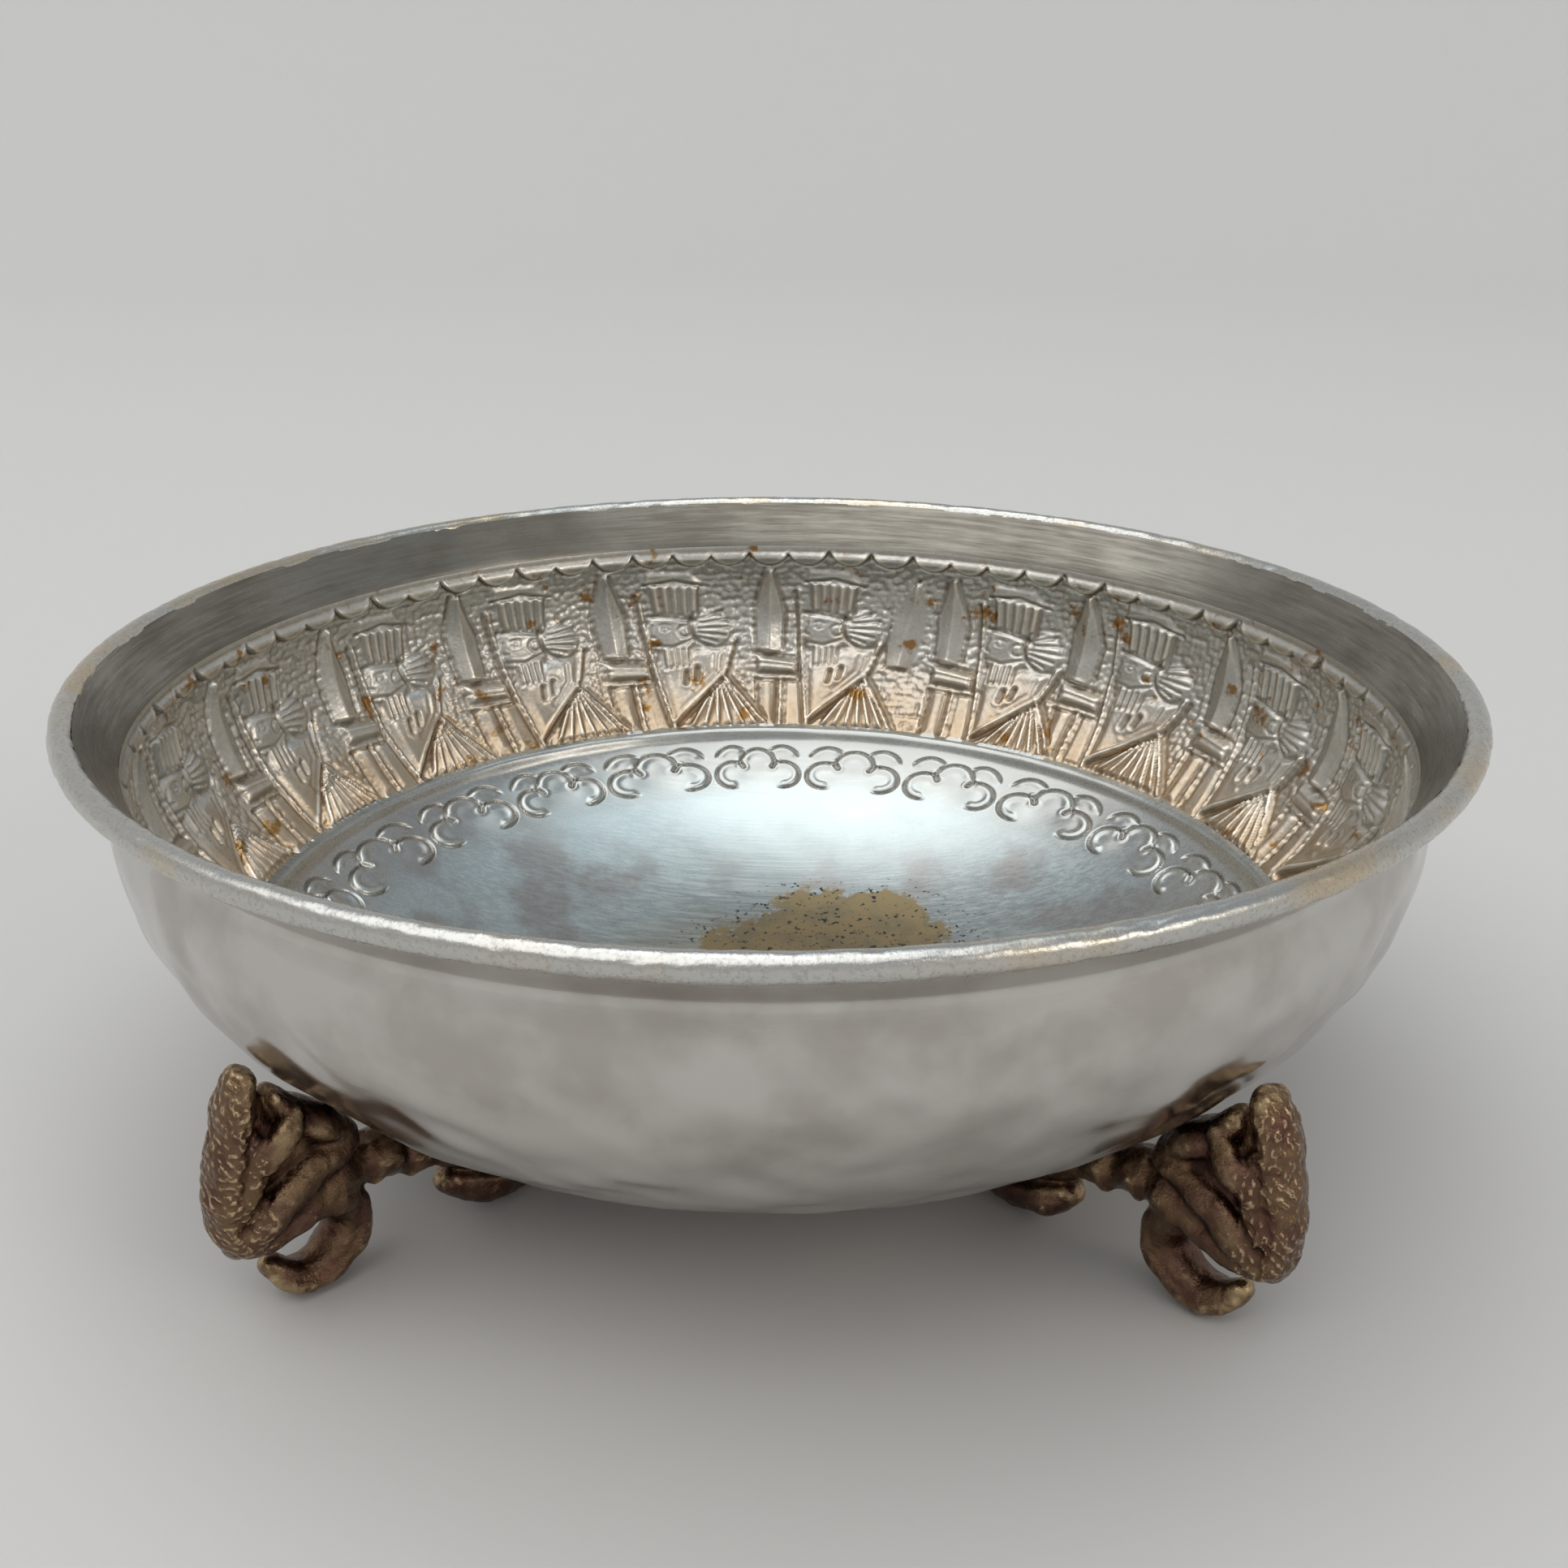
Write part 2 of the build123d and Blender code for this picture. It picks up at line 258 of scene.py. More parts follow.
def arc_stroke(x, y, cx, cy, radius, first, last, width=LINE_WIDTH, depth=LINE_DEPTH, squeeze=1.0):
    """A chased arc from one angle to another, in degrees counterclockwise, that runs out at its ends."""
    dx, dy = x - cx, (y - cy) / squeeze
    off_middle, half = off_arc(dx, dy, first, last)
    line = groove(np.abs(np.hypot(dx, dy) - radius), width, depth)
    return line * smoothstep(half + 7, half - 14, off_middle)


def punched_arc(x, y, cx, cy, radius, first, last):
    """An arc struck with a curved punch: a thin cut, and the metal inside it swelling towards the cut."""
    dx, dy = x - cx, y - cy
    off_middle, half = off_arc(dx, dy, first, last)
    out = np.hypot(dx, dy) - radius
    swelling, cut = 0.22 * np.exp(-(((out + 0.72) / 0.5) ** 2)), 0.5 * np.exp(-((out / 0.15) ** 2))
    return (swelling - cut) * smoothstep(half + 9, half - 24, off_middle)


def crest(x, y, points, width=0.3, height=0.35):
    """A raised line along a polyline, with a groove on its left side."""
    total = np.zeros(np.shape(x))
    for (x1, y1), (x2, y2) in zip(points, points[1:]):
        dx, dy = x2 - x1, y2 - y1
        size = math.hypot(dx, dy)
        along = ((x - x1) * dx + (y - y1) * dy) / size
        across = ((y - y1) * dx - (x - x1) * dy) / size
        past_end = np.maximum(0, np.maximum(-along, along - size))
        shape = np.exp(-((across / width) ** 2)) - 0.9 * np.exp(-(((across - 2.0 * width) / width) ** 2))
        shape *= height * np.exp(-((past_end / width) ** 2))
        total = np.where(np.abs(shape) > np.abs(total), shape, total)
    return total


def dome(x, y, cx, cy, rx, ry, height):
    """A raised pillow over an ellipse."""
    return height * np.sqrt(np.clip(1 - ((x - cx) / rx) ** 2 - ((y - cy) / ry) ** 2, 0, 1))


def bulge(x, y, cx, cy, size, height):
    """A soft raised spot without an edge."""
    return height * np.exp(-((x - cx) ** 2 + (y - cy) ** 2) / size ** 2)


def plateau(x, y, corners, bevel, height):
    """A raised field over a convex outline, given counterclockwise, with rounded edges."""
    inside = np.full(np.shape(x), FAR)
    for (x1, y1), (x2, y2) in zip(corners, corners[1:] + corners[:1]):
        side = np.hypot(x2 - x1, y2 - y1)
        inside = np.minimum(inside, ((x2 - x1) * (y - y1) - (y2 - y1) * (x - x1)) / side)
    return height * np.sqrt(smoothstep(0, bevel, inside))


def beads(u, v, around_mm, pitch, height):
    """Ground matted with a small round punch, closing on itself after around_mm."""
    columns = round(around_mm / pitch)
    pitch_u = around_mm / columns
    rows = int(np.max(v) / pitch) + 4
    shift = np.random.default_rng(3).uniform(-0.33, 0.33, (2, rows, columns))  # share of a pitch
    bead = 0.62 * pitch  # radius
    column, row = np.floor(u / pitch_u).astype(int), np.floor(v / pitch).astype(int) + 1
    nearest = np.full(np.shape(u), FAR)
    for di in (-1, 0, 1):
        for dj in (-1, 0, 1):
            i, j = column + di, np.clip(row + dj, 0, rows - 1)
            du = (i + 0.5 + shift[0, j, i % columns]) * pitch_u - u
            dv = (j - 0.5 + shift[1, j, i % columns]) * pitch - v
            nearest = np.minimum(nearest, np.hypot(du, dv))
    return height * np.sqrt(np.clip(1 - (nearest / bead) ** 2, 0, 1))


def waves(azimuth, length, seed, size, count=10):
    """Soft irregular ups and downs from hammering, about one unit high, size mm apart."""
    random = np.random.default_rng(seed)
    total = np.zeros(np.shape(azimuth))
    for _ in range(count):
        turns = random.integers(1, max(2, int(HAMMERED_ROUND / size))) * random.choice([-1, 1])
        pitch = size * random.uniform(0.8, 2.0)
        phase = np.radians(azimuth) * turns + length * 2 * math.pi / pitch
        total += np.sin(phase + random.uniform(0, FULL_TURN))
    return total / math.sqrt(count)


# ---- the frieze of guards
# places are azimuths in degrees; drawings are in mm, x clockwise and y up from the ridge
PER_DEGREE = math.pi * 70 / 180  # mm along the wall for a degree, where the figures are drawn
FRIEZE_TOP = neck_at - ridge_at
SPEARS = [-57.0, -38.3, -19.5, -0.4, 22.4, 39.6, 60.0]  # set out where the maker began
SPEARS += [60.0 + 18.69 * k for k in range(1, 13)]  # and evenly from there
FIGURE_SEED = 11
HAND_SPREAD = (0.045, 0.035, 0.25)  # of the lean, the stretch and the mm of drop
FIGURE_MIDDLE = 8  # mm above the ridge, about which a figure leans
EXTRA_BLADE = 17.0  # fills the one gap that came out too wide
EXTRA_LEAN, EXTRA_MIDDLE = 0.16, 17
GROUND_PITCH, GROUND_HEIGHT = 1.05, 0.26
GROUND_DROP = 0.3  # the ground is driven below the plain wall
CUSPS = 74  # scallops under the band
CUSP_SHIFTS = np.random.default_rng(5).normal(0, 0.35, CUSPS)
SCALLOP_DROP, SCALLOP_RISE, SCALLOP_HEIGHT = 2.6, 2.0, 0.95
DEEPEST_CUT = -0.42  # kept above the sheet's middle


def motif(azimuth, places, nearest=True):
    """Signed degrees from the nearest place, or past the last one before an azimuth, and its number."""
    turn = 180 if nearest else 0
    offsets = (azimuth[..., None] - np.array(places) + turn) % 360 - turn
    number = np.argmin(np.abs(offsets), -1)
    return np.take_along_axis(offsets, number[..., None], -1)[..., 0], number


def by_hand(x, y, number):
    """Each copy leans, stretches and shifts a little, as hand work does."""
    random = np.random.default_rng(FIGURE_SEED)
    lean, stretch, drop = (random.normal(0, spread, len(SPEARS)) for spread in HAND_SPREAD)
    return x * (1 + stretch[number]) + lean[number] * (y - FIGURE_MIDDLE), y + drop[number]


def blade(x, y, foot, tip, half, height):
    """A leaf-shaped spear blade with a mid rib."""
    t = np.clip((y - foot) / (tip - foot), 0, 1)
    width = half * np.sqrt(np.sin(math.pi * np.clip(0.18 + 0.82 * t, 0, 1)) ** 0.9 + 1e-6)
    across = np.clip(1 - np.abs(x) / np.maximum(width, 0.05), 0, 1)
    inside = smoothstep(foot, foot + 0.5, y) * (y < tip)
    return inside * height * np.sqrt(across) * (0.8 + 0.2 * across)


def deepest(*lines):
    """Lines that cross don't add up: the strongest one shows."""
    total = lines[0]
    for line in lines[1:]:
        total = np.where(np.abs(line) > np.abs(total), line, total)
    return total


def spear(x, y):
    """Spear with its blade, the guard's fists on the crossbar and the shaft: masses and lines."""
    mass = blade(x, y, 12.4, 26.4, 2.2, 1.0)
    mass = np.maximum(mass, plateau(x, y, [(-1.7, 0), (1.5, 0), (1.6, 9.0), (-1.6, 9.0)], 1.6, 0.8))
    mass = np.maximum(mass, plateau(x, y, [(-2.3, 9.0), (5.0, 8.6), (5.0, 11.6), (-2.3, 12.6)], 1.3, 1.0))
    lines = deepest(
        stroke(x, y, [(-2.3, 13.4), (-2.6, 20), (-1.0, 26.4)], 0.26, 0.24),
        stroke(x, y, [(2.3, 13.4), (2.5, 19), (0.5, 26)], 0.26, 0.30),
        stroke(x, y, [(-2.2, 10.9), (4.4, 10.2)], 0.2, 0.14),
        stroke(x, y, [(-2.5, 12.9), (4.8, 11.9)], 0.26, 0.28),
        crest(x, y, [(4.8, 8.4), (-2.2, 8.7)], 0.26, 0.3),
        stroke(x, y, [(-1.9, 0), (-1.9, 8.4)], 0.26, 0.28),
        crest(x, y, [(2.0, 0), (1.9, 8.2)], 0.28, 0.3),
    )
    return mass, lines


def guard(x, y):
    """A guard to the waist in profile, in a fluted cap and a pleated robe: masses and lines."""
    cap = plateau(x, y, [(6.0, 19.2), (13.0, 18.0), (13.6, 24.0), (5.4, 24.8)], 0.9, 0.85)
    brim = plateau(x, y, [(5.0, 24.2), (14.6, 23.4), (12.0, 26.2), (5.6, 26.5)], 0.7, 0.6)
    head = dome(x, y, 8.7, 16.2, 3.7, 4.0, 1.1)
    bun = dome(x, y, 14.2, 16.4, 3.2, 3.0, 0.95)
    beard = plateau(x, y, [(6.2, 9.9), (10.9, 10.4), (11.8, 15.0), (6.4, 14.6)], 1.1, 0.9)
    chest_outline = [(6.4, 1.0), (9.0, 2.4), (15.8, 9.4), (16.8, 14.0), (11.4, 14.0), (5.9, 11.0)]
    chest = plateau(x, y, chest_outline, 1.8, 0.9)
    robe = plateau(x, y, [(8.2, 0.3), (21.0, 0.3), (15.4, 9.0), (14.2, 8.2)], 0.8, 0.62)
    panel = plateau(x, y, [(2.9, 0.3), (6.2, 0.3), (5.6, 8.2), (2.7, 8.2)], 0.5, 0.42)
    mass = np.maximum.reduce([cap, brim, head, bun, beard, chest, robe, panel])
    lines = [
        crest(x, y, [(6.6, 0.2), (5.2, 12), (4.4, 22.6)], 0.3, 0.42),
        stroke(x, y, [(5.4, 19.2), (9.0, 18.7), (13.2, 17.7)], 0.24, 0.26),
        stroke(x, y, [(5.2, 24.1), (9.6, 24.7), (14.4, 23.5)], 0.24, 0.3),
        arc_stroke(x, y, 14.6, 17.2, 3.3, 135, 265, 0.28, 0.4),  # hair line behind the ear
        stroke(x, y, [(5.7, 14.4), (8.4, 13.9), (11.4, 15.0)], 0.22, 0.2),
        # the face: a plain brow, an almond eye, a short straight nose and a closed mouth
        arc_stroke(x, y, 7.6, 16.2, 1.5, 50, 125, 0.2, 0.2),
        arc_stroke(x, y, 7.6, 16.9, 0.6, 0, 359, 0.18, 0.2, 0.6),
        stroke(x, y, [(5.9, 17.6), (5.3, 15.9), (6.1, 15.6)], 0.18, 0.2),
        arc_stroke(x, y, 10.4, 16.4, 0.9, 60, 330, 0.2, 0.22),
        # sleeve: a double ridge from the waist to the shoulder
        crest(x, y, [(17.3, 14.6), (15.7, 9.6), (11.4, 5.6), (6.9, 1.6)], 0.34, 0.5),
        stroke(x, y, [(14.4, 12.4), (14.0, 9.9), (10.6, 6.6)], 0.3, 0.16),
        crest(x, y, [(15.2, 9.3), (21.2, 0.3)], 0.36, 0.5),
    ]
    for k in range(6):  # flutes of the cap
        flute = [(6.4 + 1.25 * k, 19.7 - 0.2 * k), (6.1 + 1.4 * k, 23.7 - 0.1 * k)]
        lines.append(stroke(x, y, flute, 0.28, 0.3))
    for k in range(5):  # locks of the bun, combed back
        lean = math.radians(38 - 24 * k)
        reach = (12.6 + 4.4 * math.cos(lean), 17.4 + 3.4 * math.sin(lean))
        lines.append(stroke(x, y, [(12.4, 18.2 - 0.7 * k), reach], 0.22, 0.26))
    for k in range(5):  # curls of the beard
        lines.append(stroke(x, y, [(6.9 + 0.95 * k, 10.4 + 0.1 * k), (6.9 + 0.98 * k, 13.6)], 0.2, 0.24))
    for k in (0, 1):  # tool marks on the breast
        mark = [(9.6 + 1.7 * k, 7.9 + 0.6 * k), (9.9 + 1.7 * k, 9.6 + 0.6 * k)]
        lines.append(stroke(x, y, mark, 0.36, 0.4))
    for k in range(6):  # pleats that spread from the waist
        lines.append(crest(x, y, [(13.6 + 0.35 * k, 7.0 + 0.25 * k), (9.4 + 2.05 * k, 0.5)], 0.25, 0.34))
    return mass, deepest(*lines)


def frieze_relief(azimuth, length):
    """Height of the chased frieze above its even wall, in mm, and the height of its large forms alone."""
    y = length - ridge_at
    from_spear, nearest = motif(azimuth, SPEARS)
    past, number = motif(azimuth, SPEARS, nearest=False)
    spear_mass, spear_lines = spear(*by_hand(from_spear * PER_DEGREE, y, nearest))
    guard_mass, guard_lines = guard(*by_hand(past * PER_DEGREE, y, number))
    extra_x = ((azimuth - EXTRA_BLADE + 180) % 360 - 180) * PER_DEGREE - EXTRA_LEAN * (y - EXTRA_MIDDLE)
    extra = blade(extra_x, y, 10.6, 24.6, 2.7, 0.9)
    mass = np.maximum.reduce([spear_mass, guard_mass, extra])
    lines = deepest(spear_lines, guard_lines)
    lines += np.where(extra > 0, 0, stroke(extra_x, y, [(-2.4, 11), (-2.9, 17), (0, 25)], 0.3, 0.3))
    # matted ground everywhere that no form covers
    ground = beads(azimuth * PER_DEGREE, y + 2, 360 * PER_DEGREE, GROUND_PITCH, GROUND_HEIGHT)
    bare = smoothstep(0.25, 0.05, mass)
    # scallops that hang under the band
    cusp, _ = motif(azimuth, np.arange(CUSPS) * 360 / CUSPS + CUSP_SHIFTS)
    sag = FRIEZE_TOP - SCALLOP_DROP + SCALLOP_RISE * (np.abs(cusp) / (180 / CUSPS)) ** 2.2
    scallop = smoothstep(0, 0.5, y - sag) * smoothstep(0.1, -1.0, y - FRIEZE_TOP)
    lines += groove(y - sag, 0.28, 0.36) * (y > sag - 1)
    under = smoothstep(0.6, -0.4, y - sag)
    large = mass * under + SCALLOP_HEIGHT * scallop
    foot = smoothstep(0.0, 0.9, y)
    relief = large + (lines + ground * bare * under) * foot * smoothstep(0.3, -0.2, y - FRIEZE_TOP)
    relief -= GROUND_DROP * foot * smoothstep(0.5, -0.5, y - FRIEZE_TOP)
    return np.maximum(relief, DEEPEST_CUT), large * foot


# ---- the floor's border of trefoils
# joints between the arches, set out where the maker began and evenly from there
TREFOILS = [-75.8, -57.3, -41.0, -26.0, -9.0, 4.9, 20.4, 36.0, 53.2, 68.4]
TREFOILS += [68.4 + 16.6 * k for k in range(1, 13)]
ARCH_WIDTH = 14.0  # mm from joint to joint in the drawing
PILLOWS = ((3.2, -8.8, 2.0), (7.0, -6.4, 2.0), (3.3, -5.0, 1.3))  # x, y and size of the lobes' swellings
PILLOW_HEIGHT = 0.2
RIDGE_HEIGHT, RIDGE_WIDTH = 0.75, 1.15


def trefoil_half(x, y):
    """Half of a trefoil arch beside a joint, for x from the joint to the arch's middle, 7 mm on."""
    side_lobe = punched_arc(x, y, 3.0, -9.0, 2.5, 58, 290)
    top_lobe = punched_arc(x, y, 7.0, -6.7, 2.6, -5, 185)
    hook = stroke(x, y, [(4.3, -6.6), (4.8, -7.5)], 0.28, 0.45)
    leaf = punched_arc(x, y, 3.3, -6.2, 2.6, 42, 165)
    return deepest(side_lobe, top_lobe, hook, leaf)


def floor_relief(azimuth, length):
    """Height of the floor's ridge and border, in mm, and the height of their large forms alone."""
    y = length - ridge_at
    from_joint, number = motif(azimuth, TREFOILS)
    widths = np.diff(TREFOILS + [TREFOILS[0] + 360])
    to_next = np.where(from_joint >= 0, widths[number], widths[number - 1])
    x = np.abs(from_joint) / to_next * ARCH_WIDTH
    pillow = sum(bulge(x, y, *place, PILLOW_HEIGHT) for place in PILLOWS)
    ridge = RIDGE_HEIGHT * np.exp(-(((y + 1.0) / RIDGE_WIDTH) ** 2))
    return np.maximum(trefoil_half(x, y) + pillow + ridge, DEEPEST_CUT), ridge + pillow


# ---- bowl pieces
# grids of the skins: mm from row to row, and columns round the bowl
FRIEZE_GRID = (0.24, 1800)
BORDER_GRID = (0.15, 2160)
FLOOR_GRID = (0.8, 360)
BAND_GRID = (0.4, 900)
OUTSIDE_GRID = (0.55, 900)
RIM_GRID = (28, 1200)  # points round the bead, and columns
BORDER_WIDTH = 15  # ridge to the plain floor
LOW_SEAM, HIGH_SEAM = 0.3, 0.6  # frieze to border above the ridge, and frieze to band above the crease
SHOW_THROUGH = 0.35  # share of the chased forms that shows outside
OUTSIDE_MARKS = 2.0  # hammer marks outside over those inside
BAND_MARKS = 0.03
CAVITY_DEPTH = 0.35  # mm above or below the surroundings that count as a full ridge or cut
PROUD = 0.02  # most that a dent's rim stands above the bead


def grid_between(first, last, grid):
    """Azimuths and lengths of a skin's points between two seams."""
    step, columns = grid
    return azimuth_grid(np.linspace(first, last, max(2, round((last - first) / step)) + 1), columns)


def grid_mean(grid, reach_rows, reach_columns):
    """Mean of each point's surroundings, on a grid that closes round the bowl."""
    rows, down = np.arange(len(grid)), range(-reach_rows, reach_rows + 1)
    across = range(-reach_columns, reach_columns + 1)
    grid = sum(grid[np.clip(rows + k, 0, rows[-1])] for k in down) / len(down)
    return sum(np.roll(grid, k, 1) for k in across) / len(across)


def skin(name, azimuth, length, relief, marks, inside=True):
    """One face of the sheet, its relief and marks pushed towards the axis from its even surface."""
    point, normal = section_at(length)
    offset = relief + marks + (SHEET / 2 if inside else -SHEET / 2)
    r = np.maximum(point[..., 0] + normal[..., 0] * offset, 0)
    z = point[..., 1] + normal[..., 1] * offset
    cavity = np.clip((relief - grid_mean(relief, 3, 3)) / CAVITY_DEPTH, -1, 1)
    faces = ring_faces(*azimuth.shape, inside)
    return mesh_object(name, around(r, z, azimuth), faces, cavity=cavity, worn=relief)


def hammered(azimuth, length):
    """Planishing marks: plain on the wall, all but smoothed away on the floor, and none at the crease."""
    marks = 0.07 * waves(azimuth, length, 21, 14) + 0.035 * waves(azimuth, length, 22, 6)
    on_wall = smoothstep(ridge_at - 14, ridge_at + 4, length)
    floor = 0.12 * np.cos(np.radians(azimuth) + 1) * smoothstep(0, 60, length)
    marks = marks * (0.12 + 0.88 * on_wall) + floor * (1 - on_wall)
    return marks * smoothstep(neck_at - 1, neck_at - 4, length)


def make_bowl():
    """The raised sheet as five skins that meet edge to edge, and the rolled rim."""
    azimuth, length = grid_between(ridge_at + LOW_SEAM, neck_at + HIGH_SEAM, FRIEZE_GRID)
    relief, _ = frieze_relief(azimuth, length)
    frieze = skin("chased_frieze", azimuth, length, relief, hammered(azimuth, length))

    azimuth, length = grid_between(ridge_at - BORDER_WIDTH, ridge_at + LOW_SEAM, BORDER_GRID)
    relief, _ = floor_relief(azimuth, length)
    at_top, _ = frieze_relief(azimuth[:1], length[-1:])
    to_frieze = at_top * smoothstep(ridge_at - LOW_SEAM, ridge_at + LOW_SEAM, length)
    border = skin("trefoil_border", azimuth, length, relief, to_frieze + hammered(azimuth, length))

    azimuth, length = grid_between(0.0, ridge_at - BORDER_WIDTH, FLOOR_GRID)
    marks = hammered(azimuth, length) * smoothstep(0, 20, length)
    floor = skin("bowl_floor", azimuth, length, 0 * azimuth, marks)

    azimuth, length = grid_between(neck_at + HIGH_SEAM, line_end, BAND_GRID)
    band = skin("flared_band", azimuth, length, 0 * azimuth, BAND_MARKS * waves(azimuth, length, 31, 9))

    azimuth, length = grid_between(0.0, line_end, OUTSIDE_GRID)
    _, frieze_mass = frieze_relief(azimuth, length)
    _, floor_mass = floor_relief(azimuth, length)
    mass = grid_mean(grid_mean(np.where(length > ridge_at, frieze_mass, floor_mass), 2, 4), 2, 4)
    marks = SHOW_THROUGH * mass + OUTSIDE_MARKS * hammered(azimuth, length)
    outside = skin("polished_outside", azimuth, length, 0 * azimuth, marks, inside=False)

    pieces = [frieze, border, floor, band, outside, make_rim()]
    for piece in pieces:
        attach(piece, "bowl")
    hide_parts("bowl_shell")
    return pieces


def make_rim():
    """The sheet rolled over its wire: a bead, slightly flattened and dented by the mallet."""
    rows, columns = RIM_GRID
    azimuth, section = azimuth_grid(np.arange(rows) * 360 / rows, columns)
    turn = np.radians(section)
    dents = 0.05 * waves(azimuth, section / 30, 41, 5) + 0.03 * waves(azimuth, section / 20, 42, 2.2)
    flat = np.minimum(roll + dents, roll + PROUD)
    points = around(wire_r + flat * np.cos(turn), wire_z + flat * np.sin(turn), azimuth)
    faces = ring_faces(rows, columns, True, closed_rows=True)[:, ::-1]
    return mesh_object("rolled_rim", points, faces, cavity=0 * azimuth, worn=dents)


# ---- cast feet
FEET = ("back_right_foot", "back_left_foot", "front_left_foot", "front_right_foot")  # counterclockwise
SEAT_GAP = 0.25  # kept between the castings and the bowl
PRONG_TIP, PRONG_GAP = 1.9, 1.0  # radius of the prong's tip, and prong to the bowl's wall
PRONG_LEAN = 1.25  # level half-width of that tip over its radius, as it leans out
TAB_THICKNESS, TAB_END = 2.0, 6.2  # flat tabs on the hub plate, and axis to the last point of a tab
LIMB_SIDES, LIMB_STEP = 20, 0.8  # points round a limb, and mm from ring to ring
VOXEL, ROUNDS = 0.28, 8  # mesh size of the fused casting, and rounds of softening
BROAD_ROUNDS = 16  # rounds that leave only the casting's broad shape

_, foot_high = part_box("back_right_foot")
_, hub_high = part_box("hub_plate")
tab_z = hub_high.z / MM + TAB_THICKNESS / 2
skin_r, skin_depth = shoulder_r + SHEET / 2, wall_depth + SHEET / 2  # the wall's outer face
skin_base = shell_low.z / MM
tip_z = foot_high.z / MM - PRONG_TIP
wall_at_tip = skin_r * math.sqrt(1 - ((shoulder_z - tip_z) / skin_depth) ** 2)
prong_r = wall_at_tip + PRONG_GAP + PRONG_TIP * PRONG_LEAN  # axis to the prong's tip

# limbs in the foot's middle plane: how much wider than high, then distance past the prong, height, radius
MIDDLE_LIMBS = {
    "spine": (1.75, [(-0.3, 27.0, 1.5), (0.7, 24.6, 1.8), (1.9, 20.6, 1.8), (2.9, 16.0, 1.8),
        (3.1, 12.4, 1.8), (2.7, 9.8, 1.8), (2.6, 8.6, 1.3)]),
    "heel": (1.12, [(1.4, 10.6, 2.8), (-2.0, 11.4, 3.1), (-5.4, 12.2, 3.4), (-8.8, 12.2, 3.4)]),
    "web": (0.72, [(-0.4, 23.6, 1.9), (0.2, 21.0, 2.2), (0.6, 18.0, 2.8), (-0.8, 16.6, 3.4),
        (-3.4, 18.4, 3.6), (-6.6, 16.8, 3.2)]),
    "gusset": (1.25, [(-0.4, 22.8, 1.6), (-1.2, 20.6, 1.7), (0.4, 16.8, 1.6), (-1.8, 16.4, 1.7),
        (-5.0, 18.2, 1.6)]),
    "pad": (1.8, [(-3.2, 23.8, 1.2), (-5.0, 21.0, 2.0), (-7.6, 19.2, 2.2), (-10.4, 17.0, 1.6)]),
    "toe": (1.3, [(-7.8, 11.2, 3.1), (-9.7, 8.6, 2.5), (-9.9, 5.8, 2.1), (-8.0, 3.4, 2.0), (-5.2, 2.1, 1.9),
        (-2.6, 2.9, 1.7), (-1.0, 4.6, 1.2)]),
    "arm": (1.15, [(-8.8, 12.4, 2.9), (-12.0, 12.4, 2.5), (-14.2, 12.3, 2.8), (-16.4, 11.5, 2.3),
        (-18.6, 11.2, 2.7), (-20.8, 10.2, 2.2), (-23.0, 9.6, 2.5), (-26.4, 7.8, 2.3), (-31.0, 6.4, 1.9),
        (-36.0, tab_z + 0.4, 1.5), (-46.0, tab_z, 1.0)]),
    "tab": (3.4, [(-42.0, tab_z, 1.0), (-52.0, tab_z, 1.0), (TAB_END - prong_r, tab_z, 1.0)]),
    "inner_toe": (1.25, [(-22.6, 5.0, 1.3), (-24.6, 4.2, 2.4), (-27.6, 3.2, 2.6), (-31.0, 2.4, 2.1),
        (-34.0, 1.9, 1.5), (-36.8, 1.6, 0.7)]),
}
# limbs on both sides of that plane: as above, with the distance sideways before the height
SIDE_LIMBS = {
    "long_ridge": (0.9, [(-10.2, 1.9, 16.4, 1.4), (-6.8, 2.5, 15.8, 1.9), (-3.2, 2.9, 14.0, 2.0),
        (0.2, 2.7, 11.4, 1.8), (2.2, 2.2, 9.4, 1.3)]),
    "fork": (0.9, [(0.5, 2.0, 22.0, 1.0), (0.2, 2.2, 19.0, 1.4), (0.9, 2.4, 16.0, 1.4),
        (1.9, 2.5, 13.4, 1.3)]),
    "tongue": (0.9, [(1.3, 2.0, 17.4, 1.2), (-0.9, 2.8, 18.8, 1.6), (-2.9, 3.0, 20.8, 1.6),
        (-4.2, 2.6, 22.2, 1.1)]),
    "low_ridge": (0.9, [(1.6, 2.0, 9.0, 1.3), (-2.0, 2.3, 9.8, 1.7), (-5.4, 2.5, 10.9, 1.7),
        (-8.6, 2.4, 12.6, 1.5)]),
    "toe_edge": (1.0, [(-9.6, 2.0, 11.0, 1.1), (-11.2, 2.1, 8.2, 1.0), (-10.9, 2.2, 5.2, 1.0),
        (-8.6, 2.2, 2.7, 1.0), (-5.4, 2.0, 1.4, 0.9), (-2.4, 1.7, 2.2, 0.9), (-0.9, 1.1, 3.8, 0.7)]),
    "rib": (1.0, [(-13.0, 1.2, 14.0, 1.0), (-13.6, 2.3, 12.4, 1.1), (-13.0, 1.8, 10.6, 0.9)]),
    "second_rib": (1.0, [(-17.4, 1.2, 12.8, 1.0), (-18.0, 2.2, 11.3, 1.1), (-17.4, 1.7, 9.6, 0.9)]),
    "inner_edge": (1.0, [(-23.4, 1.2, 5.4, 0.9), (-26.0, 2.2, 4.6, 0.9), (-29.4, 2.2, 3.4, 0.9),
        (-33.4, 1.3, 2.4, 0.8)]),
}


